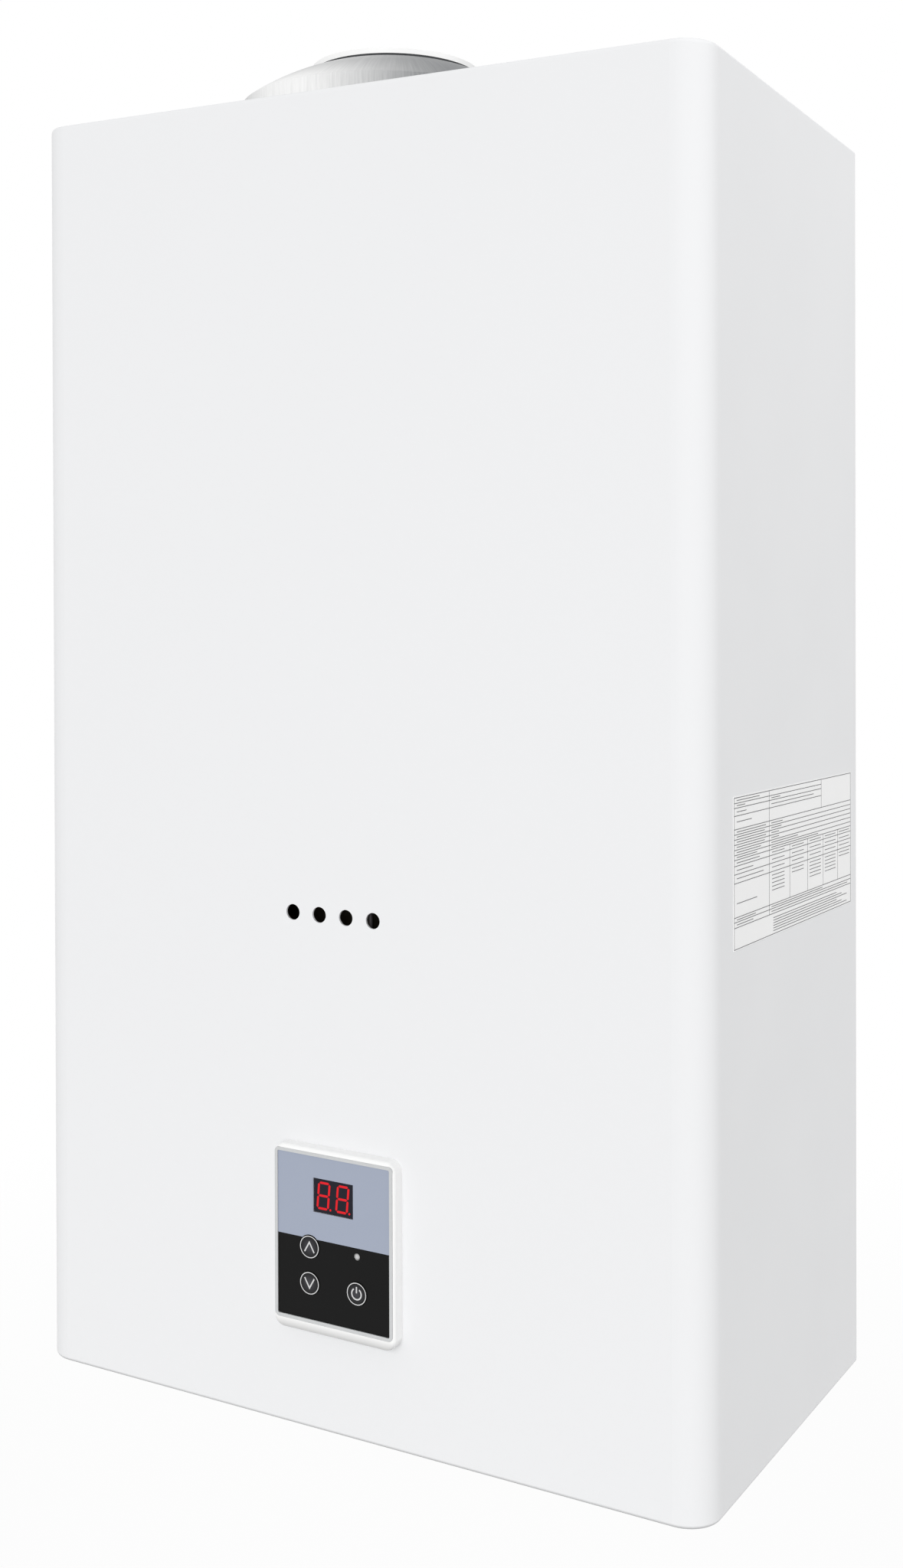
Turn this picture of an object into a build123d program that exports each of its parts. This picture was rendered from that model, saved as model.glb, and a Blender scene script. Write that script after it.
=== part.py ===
from build123d import *
import math
import os

# Tankless gas water heater, open flue, battery ignition. Millimetres, +Z up, front towards -Y.
# The origin lies on the wall, midway between the two hanging holes.

# Case
CASE_W = 340.0
CASE_D = 200.0
CASE_H = 590.0
COVER_T = 1.0
CORNER_R = 15.0
EDGE_R = 2.0
FLANGE_W = 14.0
REAR_GAP = 1.0
SLIDE_GAP = 0.3
SIDE_GAP = 1.5
PLATE_T = 1.2

# Wall fixings on the back plate
HANG_RISE = 14.0
HANG_PITCH = 180.0
FIXING_D = 8.0
TAB_W = 54.0
TAB_MARGIN = 14.0
TAB_CORNER_R = 10.0
LOWER_DROP = 12.0
SIDE_FLANGE_D = 15.0
BEAD_R = 5.0
BEAD_L = 420.0
BEAD_PITCH = 110.0

# Flame-viewing holes
VIEW_X = -4.0
VIEW_H = 227.6
VIEW_D = 7.0
VIEW_PITCH = 13.8
VIEW_COUNT = 4

# Control panel
PANEL_H = 87.3
PANEL_W = 62.0
PANEL_L = 78.0
PANEL_LIP = 3.0
PANEL_RISE = 7.0
PANEL_CORNER_R = 5.0
PANEL_EDGE_R = 2.0
PANEL_WALL = 2.0
PANEL_FACE_T = 1.8
SKIRT_INSET = 4.0
SKIRT_GAP = 0.3
SKIRT_DEPTH = 10.0
HOOK_W = 12.0
HOOK_REACH = 1.4
TRIM_W = 60.4
TRIM_L = 74.8
TRIM_BORDER = 1.5
TRIM_CORNER_R = 2.2
TRIM_T = 1.0
OVERLAY_T = 0.5
OVERLAY_GAP = 0.05
DISPLAY_W = 20.5
DISPLAY_L = 15.0
DISPLAY_RISE = 19.0
DISPLAY_GAP = 0.15
BUTTON_D = 10.0
BUTTON_GAP = 0.3
BUTTON_X = 12.1
BUTTON_UP_DROP = 4.2
BUTTON_LOW_DROP = 20.1
BUTTON_RISE = 0.3
BUTTON_TRAVEL = 0.8
BUTTON_LIP = 0.9
BUTTON_LIP_T = 1.0
STEM_D = 3.0
SWITCH_W = 6.0
SWITCH_T = 3.5
SWITCH_STEM_L = 1.3
LED_D = 2.9
LED_GAP = 0.1
LED_RISE = 0.2
BOARD_T = 1.6
BOARD_SETBACK = 6.4
BOARD_GAP = 0.2
BOSS_D = 5.0
STAKE_D = 2.8
STAKE_GAP = 0.1
STAKE_HEAD_D = 4.6
STAKE_HEAD_T = 0.8
HEADER_W = 10.0
HEADER_T = 5.0

# Rating label
LABEL_W = 160.0
LABEL_L = 63.0
LABEL_T = 0.25
LABEL_SETBACK = 29.7
LABEL_H = 257.5

# Flue collar, hood and blocked-flue thermostat
FLUE_X = -27.5
FLUE_SETBACK = 96.0
FLUE_D = 80.0
FLUE_GAP = 0.2
FLUE_WALL = 1.0
SOCKET_L = 24.0
LIP_RISE = 3.6
DOME_R = 128.4
DOME_DROP = 89.4
FOOT_R = 75.0
SEAT_BORDER = 3.0
NECK_R = 63.5
NECK_GAP = 0.4
NECK_OVERLAP = 8.0
HOOD_T = 1.0
HOOD_BOX_H = 46.0
HOOD_SLOPE_H = 62.0
HOOD_TOP_W = 150.0
SPILL_W = 70.0
SPILL_L = 22.0
SPILL_INSET = 10.0
BAFFLE_W = 170.0
BAFFLE_DROP = 18.0
STAT_D = 16.0
STAT_T = 6.0
STAT_EAR_W = 26.0

# Heat exchanger and combustion chamber
CORE_SETBACK = 95.0
CORE_INSET = 42.0
CORE_D = 136.0
CORE_R = 20.0
CORE_T = 1.0
BURNER_DROP = 21.6
TRAY_L = 50.0
CHAMBER_L = 160.0
EXCHANGER_L = 62.0
TUBE_R = 6.5
TUBE_BORE_R = 5.5
TUBE_GAP = 0.2
TUBE_PITCH = 22.0
TUBE_COUNT = 6
TUBE_STUB = 4.0
TUBE_BEND_R = 13.0
FIN_T = 0.4
FIN_PITCH = 5.0
FIN_MARGIN = 2.0
COIL_LOW_RISE = 56.0
COIL_PITCH = 44.0
COIL_END_OUT = 16.0
WINDOW_W = 62.0
WINDOW_L = 12.0
WINDOW_LAP = 5.0
WINDOW_T = 0.8

# Burner, manifold and ignition
BLADE_MARGIN = 16.0
BLADE_PITCH = 20.0
BLADE_T = 13.0
BLADE_L = 118.0
BLADE_WALL = 0.6
RAIL_W = 10.0
RAIL_T = 4.0
RAIL_INSET = 22.0
PORT_W = 1.2
PORT_L = 9.0
PORT_PITCH = 8.0
VENTURI_D = 10.0
VENTURI_RISE = 11.0
MANIFOLD_D = 14.0
MANIFOLD_L = 18.0
MANIFOLD_GAP = 5.0
MANIFOLD_BORE_R = 4.5
MANIFOLD_EDGE_R = 1.0
EAR_W = 14.0
INJECTOR_D = 7.0
INJECTOR_REACH = 3.0
INJECTOR_BORE_D = 1.4
ROD_R = 1.0
ROD_RISE = 24.0
ROD_BEND_R = 3.0
INSULATOR_R = 3.0
INSULATOR_L = 30.0
SPARK_X = 12.0
SENSE_X = 34.0

# Gas valve
GAS_X = -5.0
VALVE_W = 52.0
VALVE_H = 70.0
VALVE_DROP = 4.0
VALVE_SETBACK = 50.0
VALVE_LAP = 16.0
VALVE_EDGE_R = 3.0
BYPASS_X = 13.0
PLUNGER_DROP = 48.0
SEAT_BORE_R = 6.0
CHAMBER_BORE_R = 11.0
DISC_R = 9.0
DISC_T = 3.0
DISC_GAP = 0.1
CORE_ROD_R = 5.0
RUN_GAP = 0.05
COIL_R = 16.0
COIL_L = 40.0
COIL_CAP_T = 4.0
COIL_BOSS_L = 8.0
PLUNGER_TRAVEL = 3.0
SPRING_R = 7.6
SPRING_WIRE_R = 0.6
SPRING_TURNS = 6
SEAT_X = 5.0
OUTLET_DROP = 14.0
PASSAGE_R = 5.0
PLUG_R = 6.0
PLUG_L = 16.0
SPINDLE_R = 3.0
MOTOR_R = 17.5
MOTOR_L = 22.0
MOTOR_WALL = 2.0
ELBOW_R = 8.0
ELBOW_BORE_R = 6.5
ELBOW_BEND = 14.0

# Pipe connections under the case
PIPE_SETBACK = 62.0
HOT_INSET = 75.0
COLD_INSET = 85.0
THREAD_R = 10.48
THREAD_L = 22.0
SHOULDER_R = 11.5
SHOULDER_DROP = 8.0
PIPE_BORE_R = 7.5
PIPE_FLANGE_R = 17.0
PIPE_FLANGE_T = 3.5
LOCKNUT_FLATS = 30.0
LOCKNUT_T = 6.5
NUT_GAP = 0.1
HOLE_GAP = 0.5

# Cold side
COLD_BODY_R = 13.0
COLD_BODY_H = 24.0
FLOW_R = 17.0
FLOW_H = 88.0
FLOW_NECK_H = 98.0
FLOW_BORE_R = 11.0
FLOW_END_T = 6.0
AXLE_R = 1.5
ARM_T = 2.0
ARM_W = 2.0
ROTOR_L = 20.0
ROTOR_R = 9.6
ROTOR_HUB_R = 4.0
ROTOR_VANES = 5
ROTOR_TWIST = 30.0
ROTOR_PLAY = 0.4
RISER_SETBACK = 95.0
COLD_BEND_LOW_H = 118.0
COLD_BEND_HIGH_H = 144.0
COLD_JOIN_RISE = 42.0
COLD_BEND_R = 19.5

# Drain valve on the cold side
DRAIN_REACH = 38.0
DRAIN_ARM_H = 15.0
DRAIN_ARM_R = 7.0
DRAIN_R = 9.0
DRAIN_TOP_H = 24.0
DRAIN_BOTTOM_DROP = 4.0
DRAIN_BORE_R = 4.0
DRAIN_PASSAGE_R = 3.0
KNOB_R = 12.0
KNOB_L = 15.0
KNOB_GAP = 0.4
KNOB_FLUTES = 10
KNOB_FLUTE_R = 2.0
KNOB_STEM_L = 17.0

# Hot side
HOT_BODY_R = 12.0
HOT_BODY_H = 40.0
HOT_DROP_OUT = 22.0
HOT_BEND_H = 130.0
HOT_CROSS_H = 90.0
HOT_BEND_R = 20.0
CLIP_L = 14.0
CLIP_W = 18.0
OVERHEAT_RISE = 94.0

# Battery box
CELL_R = 17.0
CELL_L = 61.5
CELL_NUB_R = 4.5
CELL_NUB_L = 2.0
CELL_GAP = 1.0
BOX_WALL = 2.0
BOX_INSET = 45.5
BOX_SETBACK = 18.0
BOX_FLANGE = 4.0
BOX_FLANGE_T = 2.0
BOX_DROP = 3.0
DOOR_T = 3.0
DOOR_GAP = 0.3
CONTACT_T = 0.6
CONTACT_W = 18.0
BARREL_R = 3.0
HINGE_PIN_R = 1.5
HINGE_EAR_W = 6.0
LATCH_W = 20.0
LATCH_L = 4.0

# Controller
CONTROL_INSET = 17.5
CONTROL_W = 90.0
CONTROL_L = 96.0
CONTROL_SETBACK = 13.0
CONTROL_D = 40.0
CONTROL_WALL = 2.0
LEAD_R = 1.0
LEAD_BEND_R = 4.0
LEAD_PITCH = 8.0
LEAD_LANE = 3.4
SPILL_LEAD_X = 12.8
PLUG_T = 6.0

# Fasteners and brackets
SCREW_R = 2.0
SCREW_HEAD_R = 3.5
SCREW_HEAD_T = 1.5
SCREW_INSET = 10.2
SCREW_SIDE = 38.0
SCREW_GAP = 0.3
NUT_FLATS = 7.0
NUT_T = 3.2
PIN_SCREW_R = 1.5
PIN_HEAD_R = 3.0
PIN_HEAD_T = 1.5
PIN_GAP = 0.1
BRACKET_T = 1.5
BRACKET_W = 22.0
BRACKET_FOOT = 16.0
BRACKET_PITCH = 140.0
BRACKET_HIGH_RISE = 26.0
BRACKET_LOW_RISE = 20.0

# Air and spill slots
SLOT_W = 5.0
SLOT_PITCH = 11.0
AIR_SLOT_L = 46.0
AIR_SLOT_COUNT = 8
AIR_SLOT_SETBACK = 112.0
SPILL_SLOT_COUNT = 4
SPILL_SLOT_EDGE = 19.5
SPILL_SLOT_MARGIN = 5.0

# Places worked out from the driving dimensions
CASE_TOP = -HANG_RISE
CASE_BOTTOM = CASE_TOP - CASE_H
FRONT_Y = -CASE_D
PLATE_HALF_W = CASE_W / 2 - COVER_T - SIDE_GAP
FLOOR_LOW = CASE_BOTTOM + COVER_T + SLIDE_GAP
FLOOR_TOP = FLOOR_LOW + PLATE_T
ROOF_TOP = CASE_TOP - COVER_T - SLIDE_GAP
ROOF_LOW = ROOF_TOP - PLATE_T
PLATE_FRONT_Y = FRONT_Y + COVER_T + SIDE_GAP
PIPE_Y = -PIPE_SETBACK
HOT_X = HOT_INSET - CASE_W / 2
COLD_X = CASE_W / 2 - COLD_INSET
SCREW_X = CASE_W / 2 - SCREW_SIDE
BOX_X = BOX_INSET - PLATE_HALF_W
CONTROL_X = PLATE_HALF_W - CONTROL_INSET - CONTROL_W
CORE_X = VIEW_X
CORE_Y = FRONT_Y + CORE_SETBACK
CORE_W = CASE_W - 2 * CORE_INSET
BLADE_COUNT = int((CORE_W - BLADE_MARGIN) / BLADE_PITCH)
CHAMBER_H = VIEW_H - BURNER_DROP
TRAY_H = CHAMBER_H - TRAY_L
EXCHANGER_H = CHAMBER_H + CHAMBER_L
HOOD_H = EXCHANGER_H + EXCHANGER_L
VALVE_TOP_H = TRAY_H - VALVE_DROP
PLUNGER_H = VALVE_TOP_H - PLUNGER_DROP
OUTLET_H = VALVE_TOP_H - OUTLET_DROP
VALVE_FRONT_Y = FRONT_Y + VALVE_SETBACK
VALVE_BACK_Y = PIPE_Y + VALVE_LAP
CORE_FRONT = CORE_Y - CORE_D / 2
CORE_BACK = CORE_Y + CORE_D / 2
FLUE_Y = FRONT_Y + FLUE_SETBACK
SOCKET_R = FLUE_D / 2 + FLUE_GAP
SEAT_R = FOOT_R + SEAT_BORDER
TUBE_H = (EXCHANGER_H + HOOD_H) / 2
TUBE_REACH = CORE_W / 2 + TUBE_STUB


def up(height):
    """Level at a height above the case bottom."""
    return CASE_BOTTOM + height


def block(x0, x1, y0, y1, z0, z1):
    """Box between two corners."""
    centre = Pos((x0 + x1) / 2, (y0 + y1) / 2, (z0 + z1) / 2)
    return centre * Box(x1 - x0, y1 - y0, z1 - z0)


def rod_x(x0, x1, y, z, radius):
    """Cylinder along X."""
    return Pos((x0 + x1) / 2, y, z) * Rot(0, 90, 0) * Cylinder(radius, x1 - x0)


def rod_y(x, y0, y1, z, radius):
    """Cylinder along Y."""
    return Pos(x, (y0 + y1) / 2, z) * Rot(90, 0, 0) * Cylinder(radius, y1 - y0)


def rod_z(x, y, z0, z1, radius):
    """Cylinder along Z."""
    return Pos(x, y, (z0 + z1) / 2) * Cylinder(radius, z1 - z0)


def hex_z(x, y, z0, z1, flats):
    """Hexagonal prism along Z."""
    return Pos(x, y, z0) * extrude(RegularPolygon(flats / 2, 6, major_radius=False), z1 - z0)


def prism_z(outline, x, y, z0, z1):
    """Outline in plan, drawn up from one level to another."""
    return Pos(x, y, z0) * extrude(outline, z1 - z0)


def prism_y(outline, x, z, y_back, y_front):
    """Outline facing the room, drawn forward from one depth to another."""
    facing = Plane(origin=(x, y_back, z), x_dir=(1, 0, 0), z_dir=(0, -1, 0))
    return extrude(facing * outline, y_back - y_front)


def swept(path, radius, bore_radius=0.0):
    """Round tube along a path, hollow if it has a bore."""
    start = Plane(origin=path @ 0, z_dir=path % 0)
    tube = sweep(start * Circle(radius), path=path)
    if bore_radius:
        tube = tube - sweep(start * Circle(bore_radius), path=path)
    return tube


def group(solids):
    """Separate solids kept together in one node."""
    return Compound(children=[s for part in solids for s in part.solids()])


def case_plan(inset):
    """Case outline in plan, set in from the outside, with its two round front corners."""
    half = CASE_W / 2 - inset
    front = FRONT_Y + inset
    plan = Pos(0, (front - REAR_GAP) / 2) * Rectangle(2 * half, -REAR_GAP - front)
    return fillet(plan.vertices().group_by(Axis.Y)[0], max(CORNER_R - inset, COVER_T))


def view_places():
    """X places of the flame-viewing holes."""
    first = VIEW_X - VIEW_PITCH * (VIEW_COUNT - 1) / 2
    return [first + VIEW_PITCH * i for i in range(VIEW_COUNT)]


def panel_level():
    return up(PANEL_H)


# Case and chassis

def front_cover():
    """Enamelled shell: front, sides and folded edges, open at the back."""
    shell = extrude(Pos(0, 0, CASE_BOTTOM) * case_plan(0), CASE_H)
    rims = [e for e in shell.edges() if abs(e.center().Z - CASE_BOTTOM) < 0.01]
    rims += [e for e in shell.edges() if abs(e.center().Z - CASE_TOP) < 0.01]
    rims = [e for e in rims if e.center().Y < -REAR_GAP - 0.01]
    shell = fillet(rims, EDGE_R)
    inside = case_plan(COVER_T)
    shell -= extrude(Pos(0, 0, CASE_BOTTOM + COVER_T) * inside, CASE_H - 2 * COVER_T)
    shell -= extrude(Pos(0, 0, CASE_BOTTOM) * case_plan(FLANGE_W), CASE_H)
    shell -= [rod_y(x, FRONT_Y, FRONT_Y + FLANGE_W, up(VIEW_H), VIEW_D / 2) for x in view_places()]
    opening = Rectangle(PANEL_W - 2 * SKIRT_INSET, PANEL_L - 2 * SKIRT_INSET)
    shell -= prism_y(opening, 0, panel_level(), FRONT_Y + FLANGE_W, FRONT_Y)
    for x in (-SCREW_X, SCREW_X):
        y = FRONT_Y + SCREW_INSET
        shell -= rod_z(x, y, CASE_BOTTOM, CASE_TOP, SCREW_R + SCREW_GAP)
    return shell


def screw_notches(z0, z1):
    """Open notches that let the slackened cover screws slide out to the front."""
    half = SCREW_R + SCREW_GAP
    inner = FRONT_Y + SCREW_INSET
    cuts = []
    for x in (-SCREW_X, SCREW_X):
        cuts.append(block(x - half, x + half, FRONT_Y, inner, z0, z1))
        cuts.append(rod_z(x, inner, z0, z1, half))
    return cuts


def chassis_sheet(z0, z1):
    """Flat plate inside the cover, reaching back to the back plate."""
    depth = -PLATE_T - PLATE_FRONT_Y
    plan = Pos(0, PLATE_FRONT_Y + depth / 2) * Rectangle(2 * PLATE_HALF_W, depth)
    plan = fillet(plan.vertices().group_by(Axis.Y)[0], CORNER_R)
    return extrude(Pos(0, 0, z0) * plan, z1 - z0) - screw_notches(z0, z1)


def back_plate():
    """Wall plate with side flanges, stiffening beads, hanging tabs and lower tabs."""
    plate = block(-PLATE_HALF_W, PLATE_HALF_W, -PLATE_T, 0, FLOOR_LOW, ROOF_TOP)
    for side in (-1, 1):
        edge = side * PLATE_HALF_W
        inner = edge - side * PLATE_T
        plate += block(min(edge, inner), max(edge, inner), -SIDE_FLANGE_D, 0, FLOOR_TOP, ROOF_LOW)
        x = side * HANG_PITCH / 2
        top_tab = Pos(x, 0, (ROOF_LOW + TAB_MARGIN) / 2) * Box(TAB_W, PLATE_T, TAB_MARGIN - ROOF_LOW)
        lower_end = CASE_BOTTOM - LOWER_DROP - TAB_MARGIN
        low_tab = Pos(x, 0, (lower_end + FLOOR_TOP) / 2) * Box(TAB_W, PLATE_T, FLOOR_TOP - lower_end)
        plate += Pos(0, -PLATE_T / 2, 0) * round_tab(top_tab, -1)
        plate += Pos(0, -PLATE_T / 2, 0) * round_tab(low_tab, 0)
    middle = (CASE_TOP + CASE_BOTTOM) / 2
    for i in (-1, 0, 1):
        outer = bead(i * BEAD_PITCH, middle, BEAD_R + PLATE_T)
        plate += outer & block(-CASE_W, CASE_W, -CASE_D, -PLATE_T / 2, CASE_BOTTOM, CASE_TOP)
        plate -= bead(i * BEAD_PITCH, middle, BEAD_R)
    for z in (0, CASE_BOTTOM - LOWER_DROP):
        plate -= [rod_y(s * HANG_PITCH / 2, -2 * PLATE_T, PLATE_T, z, FIXING_D / 2) for s in (-1, 1)]
    return plate


def round_tab(tab, end):
    """Round the two outer corners of a tab."""
    corners = tab.edges().filter_by(Axis.Y).group_by(Axis.Z)[end]
    return fillet(corners, TAB_CORNER_R)


def bead(x, z, radius):
    """Round-ended stiffening bead along Z, centred on the wall face."""
    half = BEAD_L / 2
    ends = [Pos(x, 0, z + s * half) * Sphere(radius) for s in (-1, 1)]
    return rod_z(x, 0, z - half, z + half, radius) + ends


def bottom_plate():
    """Floor of the chassis with pipe holes, battery opening, drain hole and air slots."""
    plate = chassis_sheet(FLOOR_LOW, FLOOR_TOP)
    for x in (HOT_X, GAS_X, COLD_X):
        plate -= rod_z(x, PIPE_Y, FLOOR_LOW, FLOOR_TOP, SHOULDER_R + HOLE_GAP)
    plate -= rod_z(COLD_X + DRAIN_REACH, PIPE_Y, FLOOR_LOW, FLOOR_TOP, DRAIN_R + HOLE_GAP)
    x0, x1, y0, y1 = battery_plan()
    plate -= block(x0 - HOLE_GAP, x1 + HOLE_GAP, y0 - HOLE_GAP, y1 + HOLE_GAP, FLOOR_LOW, FLOOR_TOP)
    slot = Rot(0, 0, 90) * SlotOverall(AIR_SLOT_L, SLOT_W)
    for i in range(AIR_SLOT_COUNT):
        x = VIEW_X + (i - (AIR_SLOT_COUNT - 1) / 2) * SLOT_PITCH
        plate -= prism_z(slot, x, -AIR_SLOT_SETBACK, FLOOR_LOW, FLOOR_TOP)
    return plate


def top_plate():
    """Roof of the chassis with the flue opening and spill slots."""
    plate = chassis_sheet(ROOF_LOW, ROOF_TOP)
    plate -= rod_z(FLUE_X, FLUE_Y, ROOF_LOW, ROOF_TOP, NECK_R + NECK_GAP)
    inner, outer = SEAT_R - FLUE_X + SPILL_SLOT_MARGIN, PLATE_HALF_W - SPILL_SLOT_EDGE
    slot = SlotOverall(outer - inner, SLOT_W)
    middle = (inner + outer) / 2
    for x in (-middle, middle):
        for i in range(SPILL_SLOT_COUNT):
            y = CORE_BACK - i * SLOT_PITCH
            plate -= prism_z(slot, x, y, ROOF_LOW, ROOF_TOP)
    return plate


def support_bracket(x, height):
    """Folded bracket from the back plate to the back of the burner and exchanger."""
    z = up(height)
    half = BRACKET_W / 2
    arm = block(x - half, x + half, CORE_BACK, -PLATE_T, z, z + BRACKET_T)
    wall_foot = block(x - half, x + half, -PLATE_T - BRACKET_T, -PLATE_T, z, z + BRACKET_FOOT)
    core_foot = block(x - half, x + half, CORE_BACK, CORE_BACK + BRACKET_T, z - BRACKET_FOOT, z)
    return arm + wall_foot + core_foot


def support_brackets():
    heights = (TRAY_H + BRACKET_LOW_RISE, EXCHANGER_H + BRACKET_HIGH_RISE)
    places = [(s, h) for s in (-1, 1) for h in heights]
    return group([support_bracket(CORE_X + s * BRACKET_PITCH / 2, h) for s, h in places])


def rating_label():
    """Blank label on the right side."""
    y0 = FRONT_Y + LABEL_SETBACK
    z0 = up(LABEL_H) - LABEL_L / 2
    return block(CASE_W / 2, CASE_W / 2 + LABEL_T, y0, y0 + LABEL_W, z0, z0 + LABEL_L)


# Flue side

def dome_point(r, ball):
    """Point of a ball-shaped dome at a radius, with its height above the roof."""
    return r, math.sqrt(ball**2 - r**2) - DOME_DROP


def flue_collar():
    """Spun collar: a flat seat, an upright foot, a domed shoulder and the socket that takes the flue pipe."""
    tube, hole, inside, under = SOCKET_R + FLUE_WALL, NECK_R + NECK_GAP, FOOT_R - FLUE_WALL, DOME_R - FLUE_WALL
    shoulder, foot = dome_point(tube, DOME_R), dome_point(FOOT_R, DOME_R)
    neck, corner = dome_point(tube, under), dome_point(inside, under)
    halfway = (tube + FOOT_R) / 2
    top = shoulder[1] + LIP_RISE
    socket = [shoulder, (tube, top), (SOCKET_R, top), (SOCKET_R, top - SOCKET_L), (tube, top - SOCKET_L), neck]
    base = [corner, (inside, FLUE_WALL), (hole, FLUE_WALL), (hole, 0), (SEAT_R, 0), (SEAT_R, FLUE_WALL),
            (FOOT_R, FLUE_WALL), foot]
    arches = [ThreePointArc(foot, dome_point(halfway, DOME_R), shoulder),
              ThreePointArc(neck, dome_point(halfway, under), corner)]
    outline = Plane.XZ * make_face([*Polyline(*socket).edges(), *Polyline(*base).edges(), *arches])
    return Pos(FLUE_X, FLUE_Y, ROOF_TOP) * revolve(outline, Axis.Z)


def hood_body(inset, extra):
    """Hood envelope: a box over the exchanger, a slope and a square head under the roof."""
    base = up(HOOD_H)
    box_top = base + HOOD_BOX_H
    slope_top = box_top + HOOD_SLOPE_H
    width, depth = CORE_W - 2 * inset, CORE_D - 2 * inset
    head = HOOD_TOP_W - 2 * inset
    head_d = min(depth, head)
    body = prism_z(Rectangle(width, depth), CORE_X, CORE_Y, base - extra, box_top)
    low = Pos(CORE_X, CORE_Y, box_top) * Rectangle(width, depth)
    high = Pos(FLUE_X, FLUE_Y, slope_top) * Rectangle(head, head_d)
    body += loft([low, high])
    body += prism_z(Rectangle(head, head_d), FLUE_X, FLUE_Y, slope_top, ROOF_LOW - inset)
    return body


def draught_hood():
    """Sheet hood that gathers the flue gas, with spill openings on both sides."""
    neck_top = ROOF_TOP + NECK_OVERLAP
    hood = hood_body(0, 0) + rod_z(FLUE_X, FLUE_Y, ROOF_LOW, neck_top, NECK_R)
    hood -= hood_body(HOOD_T, HOOD_T)
    hood -= rod_z(FLUE_X, FLUE_Y, ROOF_LOW - 2 * HOOD_T, neck_top, NECK_R - HOOD_T)
    z = up(HOOD_H) + HOOD_BOX_H / 2
    for side in (-1, 1):
        x = CORE_X + side * CORE_W / 2
        reach = 2 * HOOD_T
        rear = CORE_BACK - SPILL_INSET
        hood -= block(x - reach, x + reach, rear - SPILL_W, rear, z - SPILL_L / 2, z + SPILL_L / 2)
    return hood


def draught_baffle():
    """Folded plate under the neck that turns back a down-draught."""
    z = up(HOOD_H) + HOOD_BOX_H
    half = BAFFLE_W / 2
    ridge = [(-half, -BAFFLE_DROP), (0, 0), (half, -BAFFLE_DROP)]
    under = [(x, h - HOOD_T) for x, h in reversed(ridge)]
    outline = make_face(Polyline(*ridge, *under, close=True))
    return prism_y(outline, CORE_X, z, CORE_BACK - HOOD_T, CORE_FRONT + HOOD_T)


def thermostat(x, y, z):
    """Disc thermostat on its ear plate, facing -X."""
    ear = block(x - HOOD_T, x, y - STAT_EAR_W / 2, y + STAT_EAR_W / 2, z - STAT_D / 2, z + STAT_D / 2)
    return ear + rod_x(x - HOOD_T - STAT_T, x - HOOD_T, y, z, STAT_D / 2)


def spill_place():
    """Seat of the blocked-flue thermostat on the left wall of the hood."""
    return CORE_X - CORE_W / 2, CORE_FRONT + STAT_EAR_W, up(HOOD_H) + HOOD_BOX_H / 2


def spill_thermostat():
    return thermostat(*spill_place())


# Heat exchanger

def tube_places():
    first = CORE_Y + TUBE_PITCH * (TUBE_COUNT - 1) / 2
    return [first - TUBE_PITCH * i for i in range(TUBE_COUNT)]


def exchanger_tubes():
    """One copper tube that passes back and forth through the fins."""
    z = up(TUBE_H)
    left, right = CORE_X - TUBE_REACH, CORE_X + TUBE_REACH
    bend = TUBE_PITCH / 2
    edges = []
    for i, y in enumerate(tube_places()):
        start, end = (left, right) if i % 2 == 0 else (right, left)
        edges.append(Line((start, y, z), (end, y, z)))
        if i < TUBE_COUNT - 1:
            out = end + bend if end == right else end - bend
            edges.append(ThreePointArc((end, y, z), (out, y - bend, z), (end, y - TUBE_PITCH, z)))
    path = Wire(edges)
    return swept(path, TUBE_R, TUBE_BORE_R)


def tube_holes(x0, x1):
    return [rod_x(x0, x1, y, up(TUBE_H), TUBE_R + TUBE_GAP) for y in tube_places()]


def exchanger_fins():
    """Stack of copper fins on the tube."""
    span = CORE_W - 2 * CORE_T - 2 * FIN_MARGIN
    count = int(span / FIN_PITCH)
    depth = CORE_D / 2 - CORE_T - TUBE_GAP
    fin = block(0, FIN_T, CORE_Y - depth, CORE_Y + depth, up(EXCHANGER_H), up(HOOD_H))
    fin -= tube_holes(0, FIN_T)
    first = CORE_X - FIN_PITCH * (count - 1) / 2 - FIN_T / 2
    return group([Pos(first + FIN_PITCH * i, 0, 0) * fin for i in range(count)])


def ring_wall(outline_outer, outline_inner, z0, z1):
    outer = prism_z(outline_outer, CORE_X, CORE_Y, z0, z1)
    return outer - prism_z(outline_inner, CORE_X, CORE_Y, z0, z1)


def exchanger_frame():
    """Copper frame around the fins, bored for the tube."""
    inner = Rectangle(CORE_W - 2 * CORE_T, CORE_D - 2 * CORE_T)
    frame = ring_wall(Rectangle(CORE_W, CORE_D), inner, up(EXCHANGER_H), up(HOOD_H))
    return frame - tube_holes(CORE_X - CORE_W, CORE_X + CORE_W)


def combustion_chamber():
    """Copper jacket over the burner with its sight slot."""
    outer = RectangleRounded(CORE_W, CORE_D, CORE_R)
    inner = RectangleRounded(CORE_W - 2 * CORE_T, CORE_D - 2 * CORE_T, CORE_R - CORE_T)
    jacket = ring_wall(outer, inner, up(CHAMBER_H), up(EXCHANGER_H))
    sight = SlotOverall(WINDOW_W, WINDOW_L)
    return jacket - prism_y(sight, VIEW_X, up(VIEW_H), CORE_FRONT + 2 * CORE_T, CORE_FRONT - CORE_T)


def sight_window():
    """Mica pane over the sight slot."""
    pane = Rectangle(WINDOW_W + 2 * WINDOW_LAP, WINDOW_L + 2 * WINDOW_LAP)
    return prism_y(pane, VIEW_X, up(VIEW_H), CORE_FRONT, CORE_FRONT - WINDOW_T)


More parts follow.
